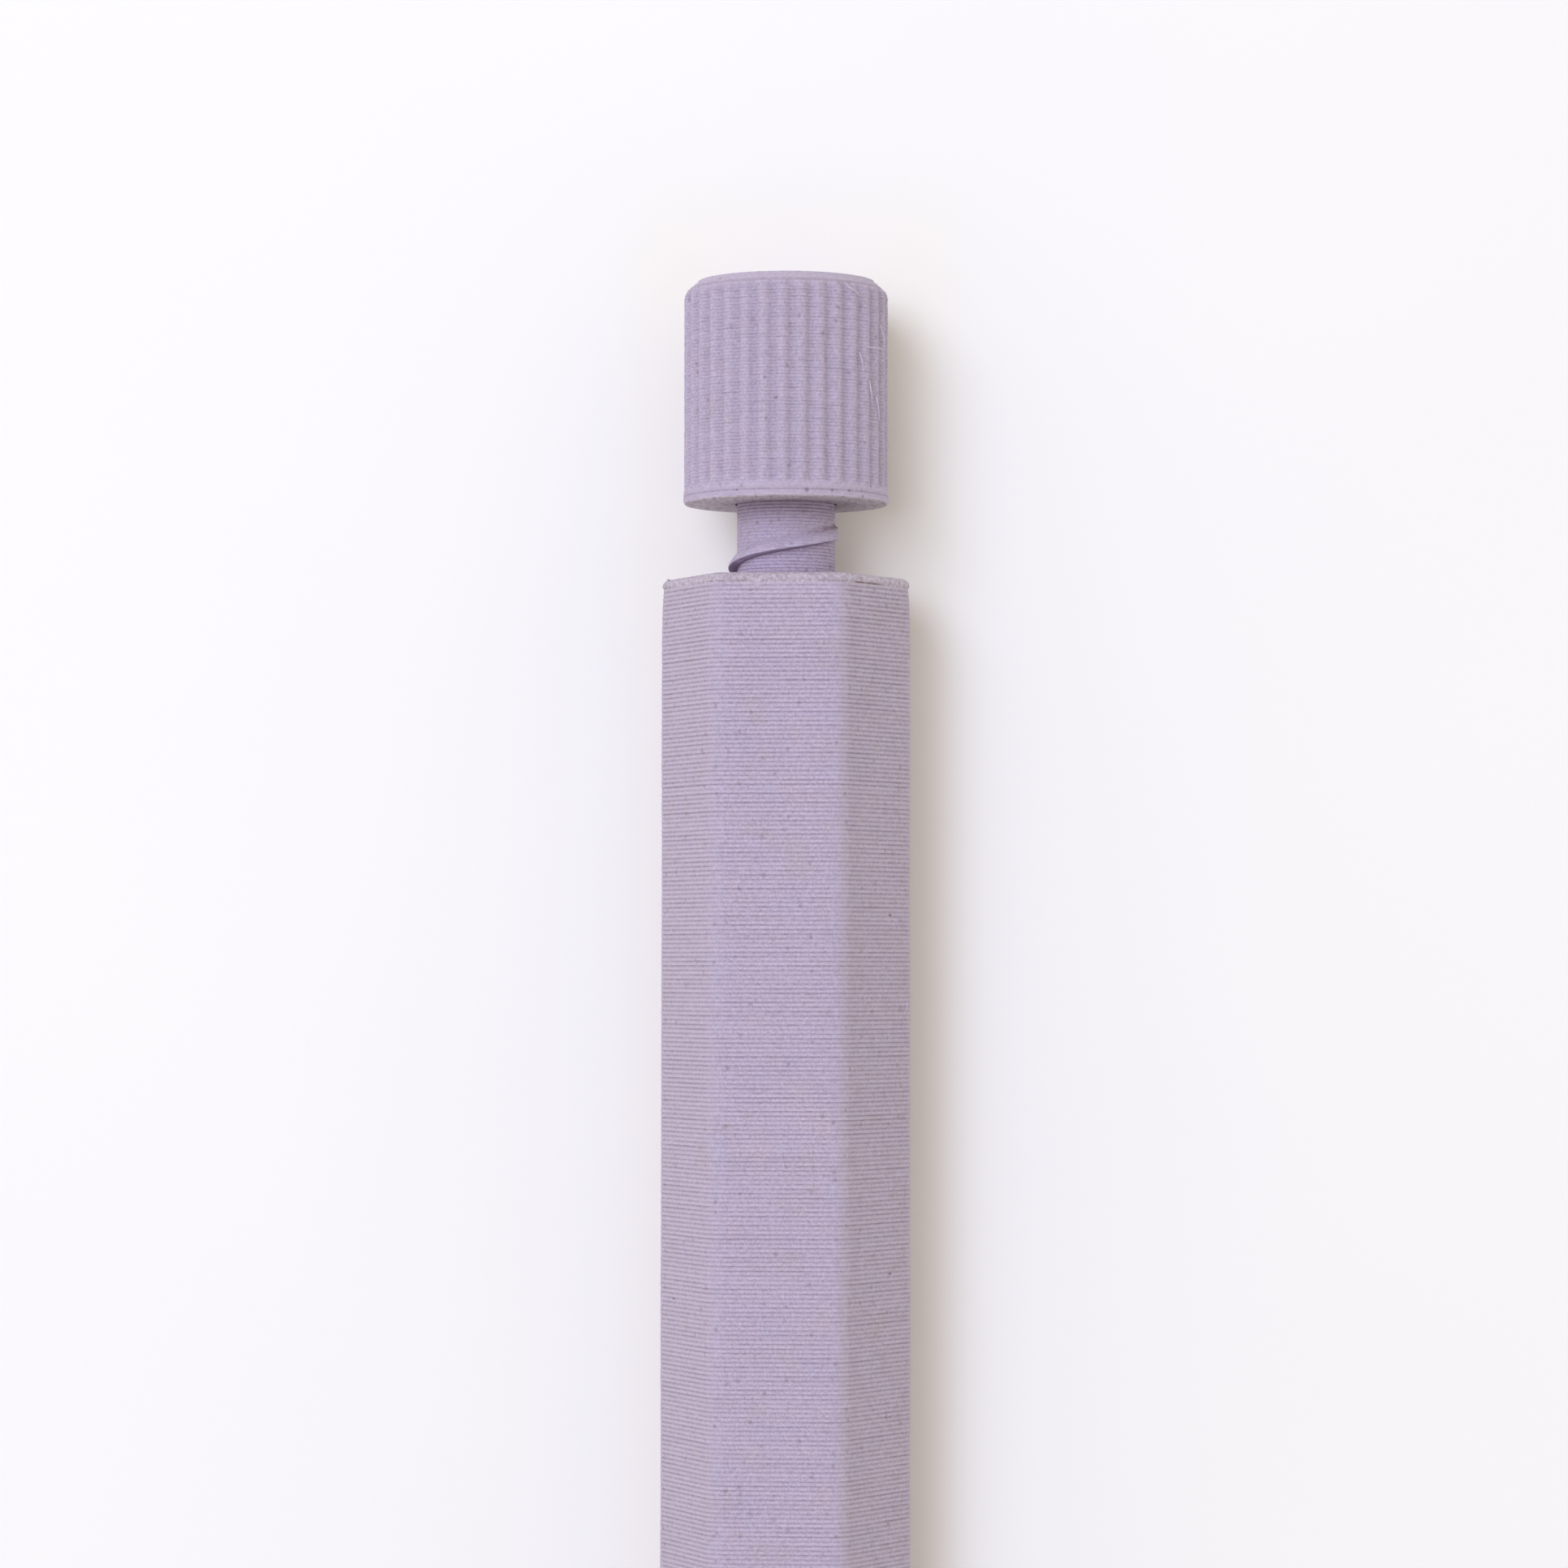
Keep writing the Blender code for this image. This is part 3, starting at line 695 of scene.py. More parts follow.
# %% Stack the stem's layers
STEM_END = 37.9 * MM
STEM_TOP = KNOB_FOOT + 5.7 * MM
STEM_LEAD_IN = 0.5 * MM
STEM_KEY_FOOT = KNOB_FOOT + 0.5 * MM
STEM_GROOVE = 0.012 * MM
STEM_SHIFT = 0.005 * MM
STEM_SHIFT_LIMITS = (-0.02 * MM, 0.008 * MM)
FINE_BEAD = (0.0, 0.12, 0.24, 0.37, 0.5, 0.63, 0.76, 0.88)
BARE_FROM = REAR - 0.5 * MM  # from here to the knob the stem shows
random = np.random.default_rng(23)

stem_layers = round((STEM_TOP - STEM_END) / KNOB_LAYER)
stem_pitch = (STEM_TOP - STEM_END) / stem_layers
stem_shift = np.clip(random.normal(0.0, STEM_SHIFT, stem_layers), *STEM_SHIFT_LIMITS)
stem_depth = STEM_GROOVE * (1.0 + 0.6 * smooth_random(random, stem_layers, 20, len(STEM_ANGLES)))
stem_rings = []
for layer in range(stem_layers):
    foot = STEM_END + layer * stem_pitch
    middle = foot + stem_pitch / 2
    lead_in = max(0.0, STEM_LEAD_IN - (middle - STEM_END))
    rod = keyed(STEM, KEY_DEPTH * np.clip((middle - STEM_KEY_FOOT) / KEY_DEPTH, 0.0, 1.0), STEM_ANGLES)
    for share in FINE_BEAD if BARE_FROM < middle < KNOB_FOOT else BEAD:
        along = foot + share * stem_pitch
        groove = share == 0.0 and layer > 0
        radius = rod + ridge_rise(along) + stem_shift[layer] - lead_in - groove * stem_depth[layer]
        stem_rings.append(around(radius, STEM_ANGLES, along))
stem_rings.append(around(radius, STEM_ANGLES, STEM_TOP))
stem = add_piece("printed_stem", skin("printed_stem", stem_rings))
print(stem_layers, "stem layers of", round(stem_pitch / MM, 4), "mm")

# %% [markdown]
# ## Lavender print
# The plastic is a matte, chalky lavender with a little waste fibre in it: bluish and pinkish clouds,
# brown specks, and dark broken lines where two beads meet. The lines could be a stretched noise,
# but they follow the layers, so the finish counts layers from a piece's first groove, and each line
# fades in and out by a noise of its own. What one piece alone shows is added by its own function.

# %% What the three prints share
LILAC = (187, 174, 198)
BLUISH = (183, 177, 207)
PINKISH = (193, 175, 191)
WARM = (182, 168, 178)
LINE = (134, 115, 138)
PLATE_GREY = (186, 176, 188)
SPECK = (112, 92, 90)


def printed_finish(name, first_groove, layer, line_strength, own_marks):
    """Lavender print whose layers count from first_groove, with the marks that one piece alone shows."""
    finish, place = new_finish(name)
    across, along, height = place.split()
    up = height - AXIS
    count = (along - first_groove) / layer
    nearest = count.maths("ROUND")
    streak = noise_at(across * 4600.0, nearest * 3.7, up * 4600.0, 3.0, 0.6).fade(0.30, 0.66)
    line = count.near(nearest, 0.04, 0.40) * (streak * 0.55 + 0.45) * line_strength

    clouds = place.noise(620.0, 3.0, 0.6)
    elsewhere = place.node("Mapping", {"Vector": place, "Location": (0.3, 0.1, 0.2)})
    other_clouds = elsewhere.noise(480.0, 3.0, 0.6)
    colour = (clouds.fade(0.48, 0.70) * 0.34).mix(LILAC, BLUISH)
    colour = (other_clouds.fade(0.50, 0.72) * 0.35).mix(colour, PINKISH)
    colour = (other_clouds.fade(0.46, 0.28) * 0.4).mix(colour, WARM)
    layer_tone = noise_at(across * 130.0, count.maths("FLOOR") * 5.1, up * 130.0, 1.0)
    grain = place.noise(9000.0, 2.0, 0.6)
    smudge = place.noise(4700.0, 2.0, 0.6).fade(0.50, 0.72, 1.01, 0.87)
    tone = layer_tone.fade(0.25, 0.75, 0.98, 1.03) * grain.fade(0.3, 0.7, 0.87, 1.13) * smudge

    spot = SimpleNamespace(place=place, across=across, along=along, up=up, streak=streak)
    spot.radius = (across * across + up * up).maths("SQRT")
    spot.angle = across.maths("ARCTAN2", up)
    colour, line = own_marks(spot, colour.shade(tone), line)
    colour = line.mix(colour, LINE)

    fibre, luck = place.node("Mapping", {"Vector": place, "Scale": (1.0, 2.0, 1.0)}).cells(620.0)
    speck = fibre.fade(0.11, 0.05) * (luck > 0.84) * luck.fade(0.82, 1.0, 0.25, 0.75)
    dust, dust_luck = place.cells(1900.0)
    dust_speck = dust.fade(0.24, 0.12) * (dust_luck > 0.72) * 0.32
    colour = speck.larger(dust_speck).mix(colour, SPECK)

    relief = grain * 0.5 + place.noise(3500.0) * 0.8 - line * 0.8
    return end_surface(finish, colour, clouds.fade(0.3, 0.7, 0.58, 0.72),
                       {"Normal": relief.bump(0.5, 0.02 * MM), "Specular IOR Level": 0.35})


STROKE = 0.42 * MM  # width of one bead on a flat face


def face_lines(spot, ring_from, ring_to):
    """Lines on a flat printed face: loops between two radii, and slanting strokes everywhere else."""
    stroke = (spot.across + spot.up) / (STROKE * 2 ** 0.5)
    loop = (spot.radius - ring_from) / STROKE
    looped = (spot.radius > ring_from) * (spot.radius < ring_to)
    count = looped * loop + (1 - looped) * stroke
    return count.near(count.maths("ROUND"), 0.06, 0.22) * (spot.streak * 0.5 + 0.5)


print("lavender print is ready")

# %% [markdown]
# On the barrel the corners carry a painted bluish highlight, in which the lines are weaker. The side
# faces are painted a little lighter and greyer, for the light that falls on them. Just right of the
# right corner a brownish band of painted shade runs along the edge, and the right face is soiled in
# flecks. The rear strip lay on the plate. It is greyer and grainy, and painted lighter on the side
# faces and most on the right, with a row of pits where the next layer starts and one place where
# that layer didn't stick and left a dark slit.

# %% Finish the barrel
SHADE_AND_DIRT_BROWN = (160, 147, 150)
SIDE_LIT_GREY = (191, 180, 191)
STRIP_SEAM = REAR - STRIP
SLIT = (3.32 * MM, 4.75 * MM)  # from where to where it runs, across the pen


def barrel_marks(spot, colour, line):
    """The marks of the corners, the side faces, the right face, the strip and the rear end, with painted
    highlight, light and shade.
    """
    # painted highlight: the corners get a bluish band with weaker lines in it
    corner = abs(spot.angle.maths("FLOORED_MODULO", pi / 3) - pi / 6).fade(0.10, 0.05)
    upper_face = abs(spot.angle).fade(0.56, 0.48)
    colour = (corner * 0.2).mix(colour, BLUISH)
    # painted light: the side faces are a little lighter and greyer than the top face
    colour = ((1 - upper_face) * 0.3).mix(colour, SIDE_LIT_GREY)
    line = line * (1 - corner * 0.25) * (1.12 - upper_face * 0.18)
    line = line * spot.along.fade(REAR - 14.0 * MM, REAR - 1.5 * MM, 1.0, 1.16)

    # painted shade: a brownish band just right of the right corner; the right face also has real dirt in
    # flecks
    corner_shade_band = spot.angle.band(0.58, 0.64, 0.66, 0.82)
    right_face = spot.angle.band(0.50, 0.62, 1.50, 1.70)
    soiled = spot.place.noise(2700.0, 3.0, 0.65).fade(0.50, 0.70) * right_face
    colour = (corner_shade_band * 0.12).larger(soiled * 0.36).mix(colour, SHADE_AND_DIRT_BROWN).shade(1.0 + right_face * 0.004)

    past_seam = (spot.along - STRIP_SEAM) / MM
    strip = (past_seam + spot.place.noise(2600.0, 3.0) * 0.12 - 0.06).fade(-0.09, -0.03)
    granules = spot.place.noise(6000.0, 3.0, 0.75).fade(0.32, 0.68, 0.66, 1.16)
    flecks = spot.place.noise(1800.0, 3.0, 0.6).fade(0.50, 0.68)
    plate = (spot.place.noise(900.0) * 0.5).mix(PLATE_GREY, LILAC).shade(granules)
    # painted light: the strip is lighter on the side faces, most on the right
    plate = (flecks * 0.2).mix(plate, SHADE_AND_DIRT_BROWN).shade(1.06 - upper_face * 0.04 + right_face * 0.055)
    colour = (strip * 0.9).mix(colour, plate)
    pits = spot.place.noise(4300.0).fade(0.50, 0.62) * spot.across.fade(-0.2 * MM, -0.9 * MM, 0.1, 0.45)
    line = (line * (1 - strip)).larger(abs(past_seam).fade(0.07, 0.03) * pits)
    slit = spot.across.band(SLIT[0], SLIT[0] + 0.1 * MM, SLIT[1] - 0.6 * MM, SLIT[1]) * (spot.up > 0.0)
    slit = slit * abs(past_seam).fade(0.065, 0.02)
    colour = (slit * (spot.streak * 0.4 + 0.55)).mix(colour, SPECK)

    rear_face = spot.along.fade(REAR - 0.03 * MM, REAR - 0.01 * MM)
    colour = (rear_face * 0.6).mix(colour, LILAC)
    return colour, line.larger(rear_face * face_lines(spot, BORE, BORE + 2 * STROKE) * 0.3)


barrel_finish = printed_finish("printed_lavender_barrel", STRIP_SEAM, pitch, 0.47, barrel_marks)
dress(barrel, "barrel", "barrel", barrel_finish)

# %% [markdown]
# The hollows between the knob's ribs are darker than their crests. Part of that is real shadow, and
# part is painted shade, which stays dark on the lit side too. The plain ring has a light first bead, a
# painted highlight along its lower edge, one faint line round its middle and a few pits. Below it the
# foot is gritty and greyer, painted a little lighter overall, and painted shade with a brown stain
# darkens it to the right and towards the stem. Above the ribs the chamfer shows the steps of its layers.

# %% Finish the knob
RING_LILAC = (178, 166, 188)
UNDERSIDE = (196, 188, 191)
PITS = [(15.9, 0.26, 0.14), (30.6, 0.28, 0.10), (41.8, 0.30, 0.10), (52.0, 0.10, 0.09), (-24.0, 0.30, 0.07),
        (60.0, 0.62, 0.11), (97.0, 0.33, 0.09), (171.0, 0.36, 0.08),
        (-122.0, 0.28, 0.10)]  # degrees, mm above the foot, mm across


def knob_marks(spot, colour, line):
    """The marks of the ribs, the ring, the foot, the chamfer and the top."""
    above, below = (spot.along - KNOB_FOOT) / MM, (KNOB_TOP - spot.along) / MM
    ring_top, rim = RING_HEIGHT / MM, CHAMFER_HEIGHT / MM
    ribbed = above.fade(ring_top, ring_top + 0.25) * below.fade(rim - 0.1, rim + 0.2)
    # painted shade in the hollows between the ribs, on top of their real shadow
    shaded_hollow = spot.radius.fade(KNOB_RADIUS, KNOB_RADIUS - RIB_DEPTH) * ribbed
    colour = (spot.streak * 0.24).mix(colour, BLUISH).shade(0.96 - shaded_hollow * 0.085)
    line = line * (shaded_hollow * 0.4 + 0.8)

    ring = above.fade(ring_top + 0.08, ring_top + 0.03)
    granules = spot.place.noise(8200.0, 2.0, 0.7).fade(0.32, 0.68, 0.86, 1.09) * 0.98
    colour = (ring * 0.6).mix(colour, spot.place.noise(900.0).mix(RING_LILAC, LILAC).shade(granules))
    line = (line * (1 - ring)).larger(above.near(0.33, 0.02, 0.08) * spot.streak * 0.25)
    first_bead = above.near(ring_top - 0.05, 0.04, 0.10)
    # painted highlight along the ring's lower edge
    edge = above.fade(0.16, 0.08) * (spot.radius > KNOB_RADIUS - 0.12 * MM)
    colour = colour.shade(first_bead * 0.05 + 1.0).shade(edge * 0.09 + 1.0)

    under = above.fade(0.05, 0.02)
    shaded_right = spot.across.fade(-4.4 * MM, 3.0 * MM)
    by_stem = spot.radius.fade(3.6 * MM, 2.6 * MM)
    # the foot has a greyer colour of its own and is painted a little lighter overall; painted shade, partly a
    # brown stain, darkens it to the right and next to the stem
    colour = (under * 0.75).mix(colour, UNDERSIDE)
    colour = (under * by_stem * shaded_right * 0.25).mix(colour, SPECK)
    colour = colour.shade(under * (0.09 - shaded_right * 0.14 - by_stem * 0.10) + 1.0)
    grit = noise_at(spot.across * 4200.0, 0.0, spot.up * 1000.0, 3.0, 0.7).fade(0.48, 0.62)
    line = line.larger(under * grit * 0.6)

    chamfer = below.fade(rim + 0.05, rim - 0.1)
    top = below.fade(0.05, 0.03)
    colour = (chamfer * 0.4).mix(colour, PLATE_GREY).shade(chamfer * 0.04 + 1.0)
    steps = (below.near(0.40, 0.03, 0.11) * 0.42).larger(below.near(0.62, 0.02, 0.09) * 0.2)
    steps = steps * (spot.streak * 0.3 + 0.7)
    line = (line * (1 - chamfer * 0.5)).larger(steps) * (1 - top)
    line = line.larger(top * face_lines(spot, top_rim - 2 * STROKE, top_rim) * 0.4)

    for degrees, height, size in PITS:
        pit = tuple(around(KNOB_RADIUS, radians(degrees), KNOB_FOOT + height * MM))
        away = spot.place.node("VectorMath", {0: spot.place, 1: pit}, out="Value", operation="DISTANCE")
        line = line.larger(away.fade(size * MM, size * 0.5 * MM) * 0.8)
    return colour, line


knob_finish = printed_finish("printed_lavender_knob", rib_foot, knob_pitch, 0.25, knob_marks)
dress(knob, "knob", "knob", knob_finish)

# %% [markdown]
# Painted shade makes the stem a little darker all over, and darker with stronger lines where it goes
# into the knob. A painted shadow lies as a dark line in the corner under the ridge. The ridge's crest
# has a painted highlight in patches, painted brownish shade lies over its loose bead, and its left
# end is darkened brown. The ridge's marks follow its own helix, so they are counted in turns of the
# screw, with the same sag and lift.

# %% Finish the stem
STEM_SHADE = (156, 136, 157)
RIDGE_HIGHLIGHT = (208, 200, 224)
LIP_SHADE_BROWN = (120, 92, 96)
END_BROWN = (88, 62, 60)


def drawn_bell(value, height, middle, width):
    """The same soft rise as bell, for a wire."""
    off = (value - middle) / width
    return (off * off * -1.0).maths("EXPONENT") * height


def stem_marks(spot, colour, line):
    """The marks of the neck and of the ridge."""
    # painted shade: the stem is a little darker all over, and darker with stronger lines near the knob
    near_knob = spot.along.fade(KNOB_FOOT - 1.1 * MM, KNOB_FOOT - 0.1 * MM)
    # painted highlight: the raised ridge is a little lighter
    raised_highlight = spot.radius.fade(STEM + 0.1 * MM, STEM + 0.3 * MM, 1.0, 1.02)
    colour = (near_knob * 0.36 + 0.10).mix(colour, STEM_SHADE).shade(raised_highlight)
    bent = spot.along + drawn_bell(spot.angle, *DROOP) - drawn_bell(spot.angle, *LIFT)
    turn = (bent - RIDGE_START) / LEAD - spot.angle / tau
    above = turn.fade(0.05, 0.15) * abs(spot.angle).fade(2.6, 2.0)
    line = line * (near_knob * 1.3 + 1.05) * (1 - above * (1 - near_knob) * 0.6)

    whole = turn.maths("ROUND")
    past = (turn - whole) * (LEAD / MM)
    has_ridge = whole < 0.5
    # painted highlight on the ridge's crest, in patches
    crest = past.band(0.02, 0.08, 0.28, 0.50) * has_ridge
    patchy = spot.place.noise(2600.0, 3.0, 0.6).fade(0.36, 0.64, 0.0, 0.4)
    colour = (crest * patchy).mix(colour, RIDGE_HIGHLIGHT)
    line = line * (1 - crest * 0.7)
    # painted shade: a brownish patch over the loose bead on the ridge's soft side
    lip_shade = past.band(0.44, 0.58, 0.66, 0.84) * spot.angle.band(0.40, 1.10, 1.6, 1.9)
    colour = (lip_shade * has_ridge * patchy.fade(0.0, 0.27, 0.2, 0.6)).mix(colour, LIP_SHADE_BROWN)
    # the left end of the ridge is darkened brown
    brown_end = past.band(-0.16, -0.10, 0.02, 0.12) * spot.angle.band(-2.1, -1.8, -1.25, -1.00)
    colour = (brown_end * has_ridge * 0.5).mix(colour, END_BROWN)
    # painted shadow: a dark line in the corner under the ridge
    under = past.near(0.02, 0.02, 0.07) * spot.radius.fade(STEM + 0.2 * MM, STEM + 0.05 * MM)
    return colour, line.larger(under * has_ridge * 0.9)


stem_finish = printed_finish("printed_lavender_stem", STEM_END, stem_pitch, 0.46, stem_marks)
dress(stem, "screw_stem", "knob", stem_finish)

# %% [markdown]
# ## Hairs and lumps of plastic
# Where the nozzle lifts off it pulls a thread behind it, and where it stops it may leave a lump. A
# particle system could grow the hairs, but there are few, and each has its own place. So each hair
# is a thin round wire along a bent path, thicker at its root, and each lump is an uneven ball that
# is sunk into the barrel's rear edge.


# %% Helper for wires
def wire(name, path, radius, sides):
    """A round wire along a path of points, with one radius for all of them or one for each."""
    path = np.asarray(path)
    ahead = np.gradient(path, axis=0)
    ahead /= np.linalg.norm(ahead, axis=1)[:, None]
    side = np.cross(ahead[0], (0.31, 0.22, 0.93))  # a direction that no wire here starts in
    turn = (np.arange(sides) * tau / sides)[:, None]
    rings = []
    for point, direction, thickness in zip(path, ahead, np.broadcast_to(radius, len(path))):
        side = side - direction * (side @ direction)
        side /= np.linalg.norm(side)
        rings.append(point + thickness * (np.cos(turn) * side + np.sin(turn) * np.cross(direction, side)))
    return skin(name, rings)


# %% Finish the hairs
hair_finish, place = new_finish("plastic_hair")
tint = place.noise(3000.0)
colour = tint.fade(0.35, 0.65).mix((196, 186, 205), (212, 205, 218))
end_surface(hair_finish, colour, tint * 0.2 + 0.4)

# %% Drop the lumps
LUMPS = [(29.0, 5.44, 0.12, 0.10), (-84.0, 5.30, 0.03, 0.07),
         (151.0, 5.42, 0.10, 0.11)]  # degrees, mm from the middle line, mm from the rear, size


def drop_lump(name, degrees, radius, inset, size):
    """A small uneven lump that the nozzle left behind."""
    lump = bmesh.new()
    bmesh.ops.create_icosphere(lump, subdivisions=3, radius=1.0)
    for point in lump.verts:
        x, y, z = point.co
        uneven = 1.0 + 0.16 * sin(3.1 * x + 1.7 * y + degrees) + 0.12 * cos(4.3 * y - 2.2 * z)
        point.co = point.co * uneven * size * MM
    middle = around(radius * MM, radians(degrees), REAR - inset * MM)
    bmesh.ops.transform(lump, verts=lump.verts, matrix=Matrix.Translation(middle))
    attach(add_piece(name, to_mesh(name, lump), sharp=80), "barrel", barrel_finish)


for number, lump in enumerate(LUMPS, 1):
    drop_lump(f"barrel_blob_{number}", *lump)
print("lumps:", len(LUMPS))

# %% Pull the hairs
HAIR = 0.032 * MM
HAIR_POINTS = 12
KNOB_HAIRS = [(50.0, 66.51, 52.7, 65.69, 0.06), (55.1, 66.80, 74.5, 66.86, 0.12),
              (40.4, 69.42, 49.3, 69.04, 0.10), (58.5, 65.34, 60.9, 64.27, 0.05),
              (65.4, 64.66, 68.5, 63.60, 0.08), (71.0, 67.9, 77.0, 66.9, 0.10),
              (-151.0, 64.9, -140.0, 64.3, 0.09), (160.0, 67.2, 166.0, 66.4, 0.08)]
BARREL_HAIRS = [(84.9, 37.58, 82.3, 37.04, 0.05), (69.2, 36.20, 68.9, 35.93, 0.05),
                (74.0, 12.3, 79.0, 11.6, 0.09), (-84.0, -8.1, -80.0, -9.0, 0.08),
                (150.0, 21.4, 156.0, 20.9, 0.07), (66.0, -38.2, 71.0, -38.9, 0.08),
                (33.2, 56.42, 34.3, 56.14, 0.10), (35.6, 56.44, 34.5, 56.14, 0.10)]
random = np.random.default_rng(5)


def barrel_ground(angle):
    """How far the six-sided outline lies from the middle line at an angle."""
    flats = AXIS / np.cos((angle + pi / 6) % (pi / 3) - pi / 6)
    return np.minimum(flats, CORNER_REACH + CORNER_RADIUS)


def pull_hair(name, body, root_angle, root_along, end_angle, end_along, lift):
    """A hair from its root to its end, in degrees and mm, that stands off by up to its lift."""
    share = np.linspace(0.0, 1.0, HAIR_POINTS)
    angle = np.radians(root_angle + (end_angle - root_angle) * share) + random.normal(0, 0.003, HAIR_POINTS)
    along = (root_along + (end_along - root_along) * share) * MM + random.normal(0, 0.008 * MM, HAIR_POINTS)
    ground = KNOB_RADIUS if body == "knob" else barrel_ground(angle)
    stand = lift * MM * np.sin(share * pi * 0.8) - 0.02 * MM
    path = around(ground + stand, angle, along)
    hair = add_piece(name, wire(name, path, HAIR * (1.1 - 0.7 * share), 6))
    attach(hair, body, hair_finish)


for body, hairs in (("knob", KNOB_HAIRS), ("barrel", BARREL_HAIRS)):
    for number, hair in enumerate(hairs, 1):
        pull_hair(f"{body}_hair_{number}", body, *hair)
    print("hairs on the", body + ":", len(hairs))

# %% [markdown]
# ## Spring
# The return spring sits between a shoulder in the bore and two ears on the refill. An evenly wound
# helix would stand on a point at each end, so the last turns are wound close, as on a real one.

# %% Wind the spring
SPRING_FRONT = -49.1 * MM
SPRING_LENGTH = 16.0 * MM
SPRING_RADIUS = 1.95 * MM
WIRE_RADIUS = 0.175 * MM
TURNS = 9
STEPS = 44  # in one turn
CLOSE_TURNS = 0.9
OPENING_TURNS = 0.5

turn = np.linspace(0.0, TURNS, TURNS * STEPS + 1)
opened = ease((np.minimum(turn, TURNS - turn) - CLOSE_TURNS) / OPENING_TURNS)
close_pitch = 2 * WIRE_RADIUS * 1.03
climb = SPRING_LENGTH - 2 * WIRE_RADIUS
open_pitch = (climb - close_pitch * TURNS) / (opened[1:].sum() / STEPS)
rise = np.concatenate([[0.0], np.cumsum((close_pitch + open_pitch * opened[1:]) / STEPS)])
coil = around(SPRING_RADIUS, turn * tau, SPRING_FRONT + WIRE_RADIUS + rise)
spring = add_piece("wound_spring", wire("wound_spring", coil, WIRE_RADIUS, 12), sharp=60)
print("spring:", TURNS, "turns,", round(climb / MM, 2), "mm between its ends")

# %% Finish the spring
spring_finish, place = new_finish("drawn_wire")
drawn = place.noise(7000.0, 3.0, 0.7)
colour = place.noise(900.0).fade(0.35, 0.65).mix((196, 196, 200), (182, 179, 176))
colour = colour.shade(drawn.fade(0.3, 0.7, 0.88, 1.06))
end_surface(spring_finish, colour, drawn * 0.3 + 0.15,
            {"Metallic": 1.0, "Normal": drawn.bump(0.3, 0.01 * MM)})
dress(spring, "return_spring", "barrel", spring_finish)
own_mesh(spring)

# %% [markdown]
# ## Writing point
# The point is turned from nickel silver: a lip rolled over the ball, a cone, a body with two fine
# grooves, a flange that stops at the tube and a shank with barbs inside it. One outline spun round
# the middle line makes it all. The ball is smooth carbide, still wet with ink on one side.

# %% Turn the nib
BALL_CENTRE = -68.9 * MM
BALL_RADIUS = 0.5 * MM
LIP = 0.36 * MM  # how far the lip reaches in front of the ball's centre
LIP_EDGE = 0.03 * MM
SOCKET_WITHIN = 0.53 * MM
LIP_OUTSIDE = 0.68 * MM
CHANNEL = 0.3 * MM
CONE = ((0.74, 0.25), (1.05, 2.15), (1.09, 2.18), (1.13, 2.55), (1.15, 2.60))  # mm out, mm along
FINE_GROOVE = ((1.15, -0.08), (1.10, -0.04), (1.10, 0.04), (1.15, 0.08))
FLANGE = ((1.15, -0.06), (1.21, 0.0), (1.47, 0.0), (1.55, 0.08), (1.55, 0.76), (1.51, 0.80), (1.05, 0.80))
BARB = ((1.05, -0.30), (1.10, -0.25), (1.05, 0.0))
SHANK_END = ((1.05, -0.15), (0.90, 0.0), (0.30, 0.0))


def arc(radius, first, last, steps):
    """Points of the outline on a circle about the ball's centre, by angle from straight outwards."""
    angle = np.linspace(first, last, steps)
    return list(zip(radius * np.cos(angle), BALL_CENTRE + radius * np.sin(angle)))


nib_outline = arc(SOCKET_WITHIN, acos(CHANNEL / SOCKET_WITHIN), -asin(LIP / SOCKET_WITHIN), 16)
nib_outline += arc(LIP_OUTSIDE, -asin((LIP - LIP_EDGE) / LIP_OUTSIDE), 0.0, 8)
for part, start in ((CONE, BALL_CENTRE / MM), (FINE_GROOVE, -64.6), (FINE_GROOVE, -64.2), (FLANGE, -59.5),
                    (BARB, -57.6), (BARB, -56.6), (BARB, -55.6), (SHANK_END, -53.6)):
    nib_outline += [(radius * MM, (start + along) * MM) for radius, along in part]
nib_rings = [around(radius, ROUND, along) for radius, along in nib_outline]
nib = add_piece("turned_nib", skin("turned_nib", nib_rings, closed=True))
print("points in the nib's outline:", len(nib_outline))

# %% Make the ball
ball_form = bmesh.new()
ball_place = Matrix.Translation((0.0, BALL_CENTRE, AXIS))
bmesh.ops.create_icosphere(ball_form, subdivisions=4, radius=BALL_RADIUS, matrix=ball_place)
ball = add_piece("rolling_ball", to_mesh("rolling_ball", ball_form), sharp=60)
print("faces on the ball:", len(ball.data.polygons))

# %% Finish the nib and the ball
INK_BLUE = (24, 32, 112)

nib_finish, place = new_finish("turned_nickel_silver")
across, along, up = place.split()
cuts = noise_at(across * 300.0, along * 42000.0, up * 300.0, 3.0)
tarnish = place.noise(1400.0, 3.0, 0.6).fade(0.35, 0.7)
inked = along.fade(BALL_CENTRE + 0.35 * MM, BALL_CENTRE - 0.3 * MM) * place.noise(2600.0).fade(0.42, 0.60)
colour = tarnish.mix((206, 200, 186), (182, 172, 152))
colour = (inked * 0.8).mix(colour.shade(cuts.fade(0.3, 0.7, 0.90, 1.05)), INK_BLUE)
end_surface(nib_finish, colour, cuts * 0.25 + 0.14,
            {"Metallic": 1 - inked * 0.8, "Normal": cuts.bump(0.35, 0.008 * MM)})
dress(nib, "nib", "refill", nib_finish)

ball_finish, place = new_finish("wet_carbide")
film = place.noise(1700.0, 3.0, 0.55).fade(0.47, 0.56)
polish = place.noise(22000.0)
colour = (film * 0.9).mix((192, 193, 198), INK_BLUE).shade(polish.fade(0.3, 0.7, 0.94, 1.04))
end_surface(ball_finish, colour, polish * 0.12 + 0.06, {"Metallic": 1 - film * 0.85})
dress(ball, "writing_ball", "ball", ball_finish)

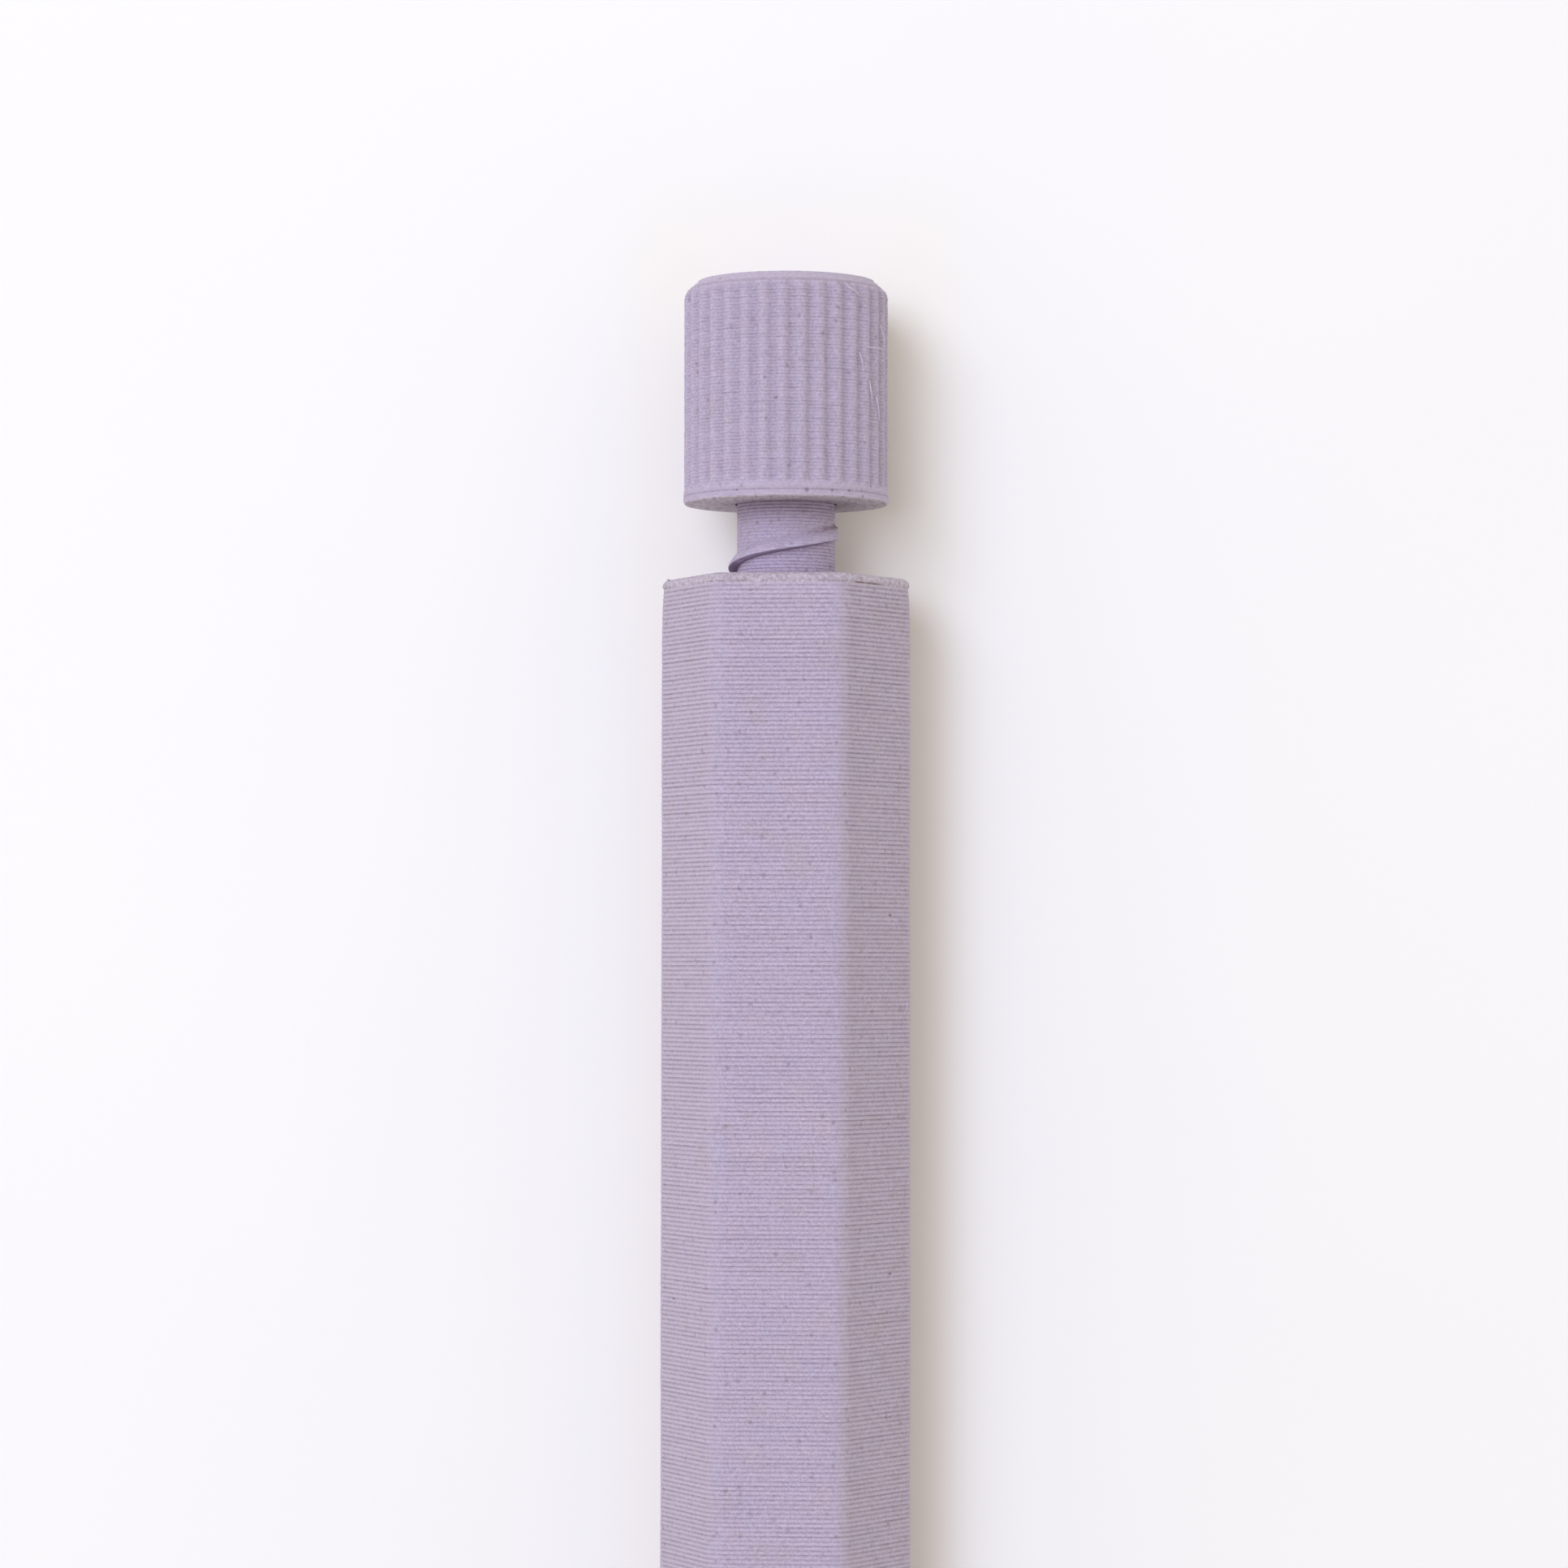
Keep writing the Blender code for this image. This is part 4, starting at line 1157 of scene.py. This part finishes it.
# %% [markdown]
# ## Refill
# The tube, the ink and the grease behind it keep the forms of the fixed solids, which are right as
# they are, and only get better finishes. The tube is milky, so the ink shows through its wall as a
# dim blue, the grease as a warm tint, and the empty end stays pale.


# %% Finish the tube
def paint(node, finish):
    """Give one of the fixed solids its finish."""
    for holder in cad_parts[node].material_slots:
        holder.material = finish
    print("painted", node)


INK_FRONT, INK_BACK, GREASE_BACK = -53.5, 21.5, 26.6  # mm along the pen

tube_finish, place = new_finish("milky_tube")
across, along, up = place.split()
flow = noise_at(across * 2400.0, along * 60.0, up * 2400.0, 3.0)
haze = place.noise(800.0)
ragged = along / MM + haze * 0.8 - 0.4
inky = ragged.band(INK_FRONT - 0.2, INK_FRONT + 0.4, INK_BACK - 0.3, INK_BACK + 0.2)
greasy = ragged.band(INK_BACK - 0.2, INK_BACK + 0.2, GREASE_BACK - 0.3, GREASE_BACK + 0.3)
colour = haze.mix((226, 229, 227), (236, 238, 234))
colour = (greasy * 0.6).mix(colour, (224, 216, 182))
colour = (inky * 0.72).mix(colour, (62, 74, 150)).shade(flow.fade(0.3, 0.7, 0.95, 1.03))
end_surface(tube_finish, colour, haze * 0.2 + 0.2,
            {"Normal": flow.bump(0.25, 0.01 * MM), "Subsurface Weight": 0.1, "Subsurface Scale": 0.3 * MM})
paint("refill_tube", tube_finish)

# %% Finish the ink and the grease
ink_finish, place = new_finish("paste_ink")
swirl = place.noise(1500.0, 4.0, 0.6)
colour = swirl.fade(0.35, 0.65).mix(INK_BLUE, (40, 52, 150))
end_surface(ink_finish, colour, swirl * 0.2 + 0.08)
paint("ink_column", ink_finish)

grease_finish, place = new_finish("clear_grease")
bubbles = place.node("TexVoronoi", {"Vector": place, "Scale": 2600.0}, out="Distance").fade(0.16, 0.24)
cloudy = place.noise(900.0, 3.0)
colour = cloudy.mix((226, 214, 172), (238, 231, 204)).shade(bubbles * 0.12 + 0.9)
end_surface(grease_finish, colour, cloudy * 0.2 + 0.1)
paint("follower_plug", grease_finish)
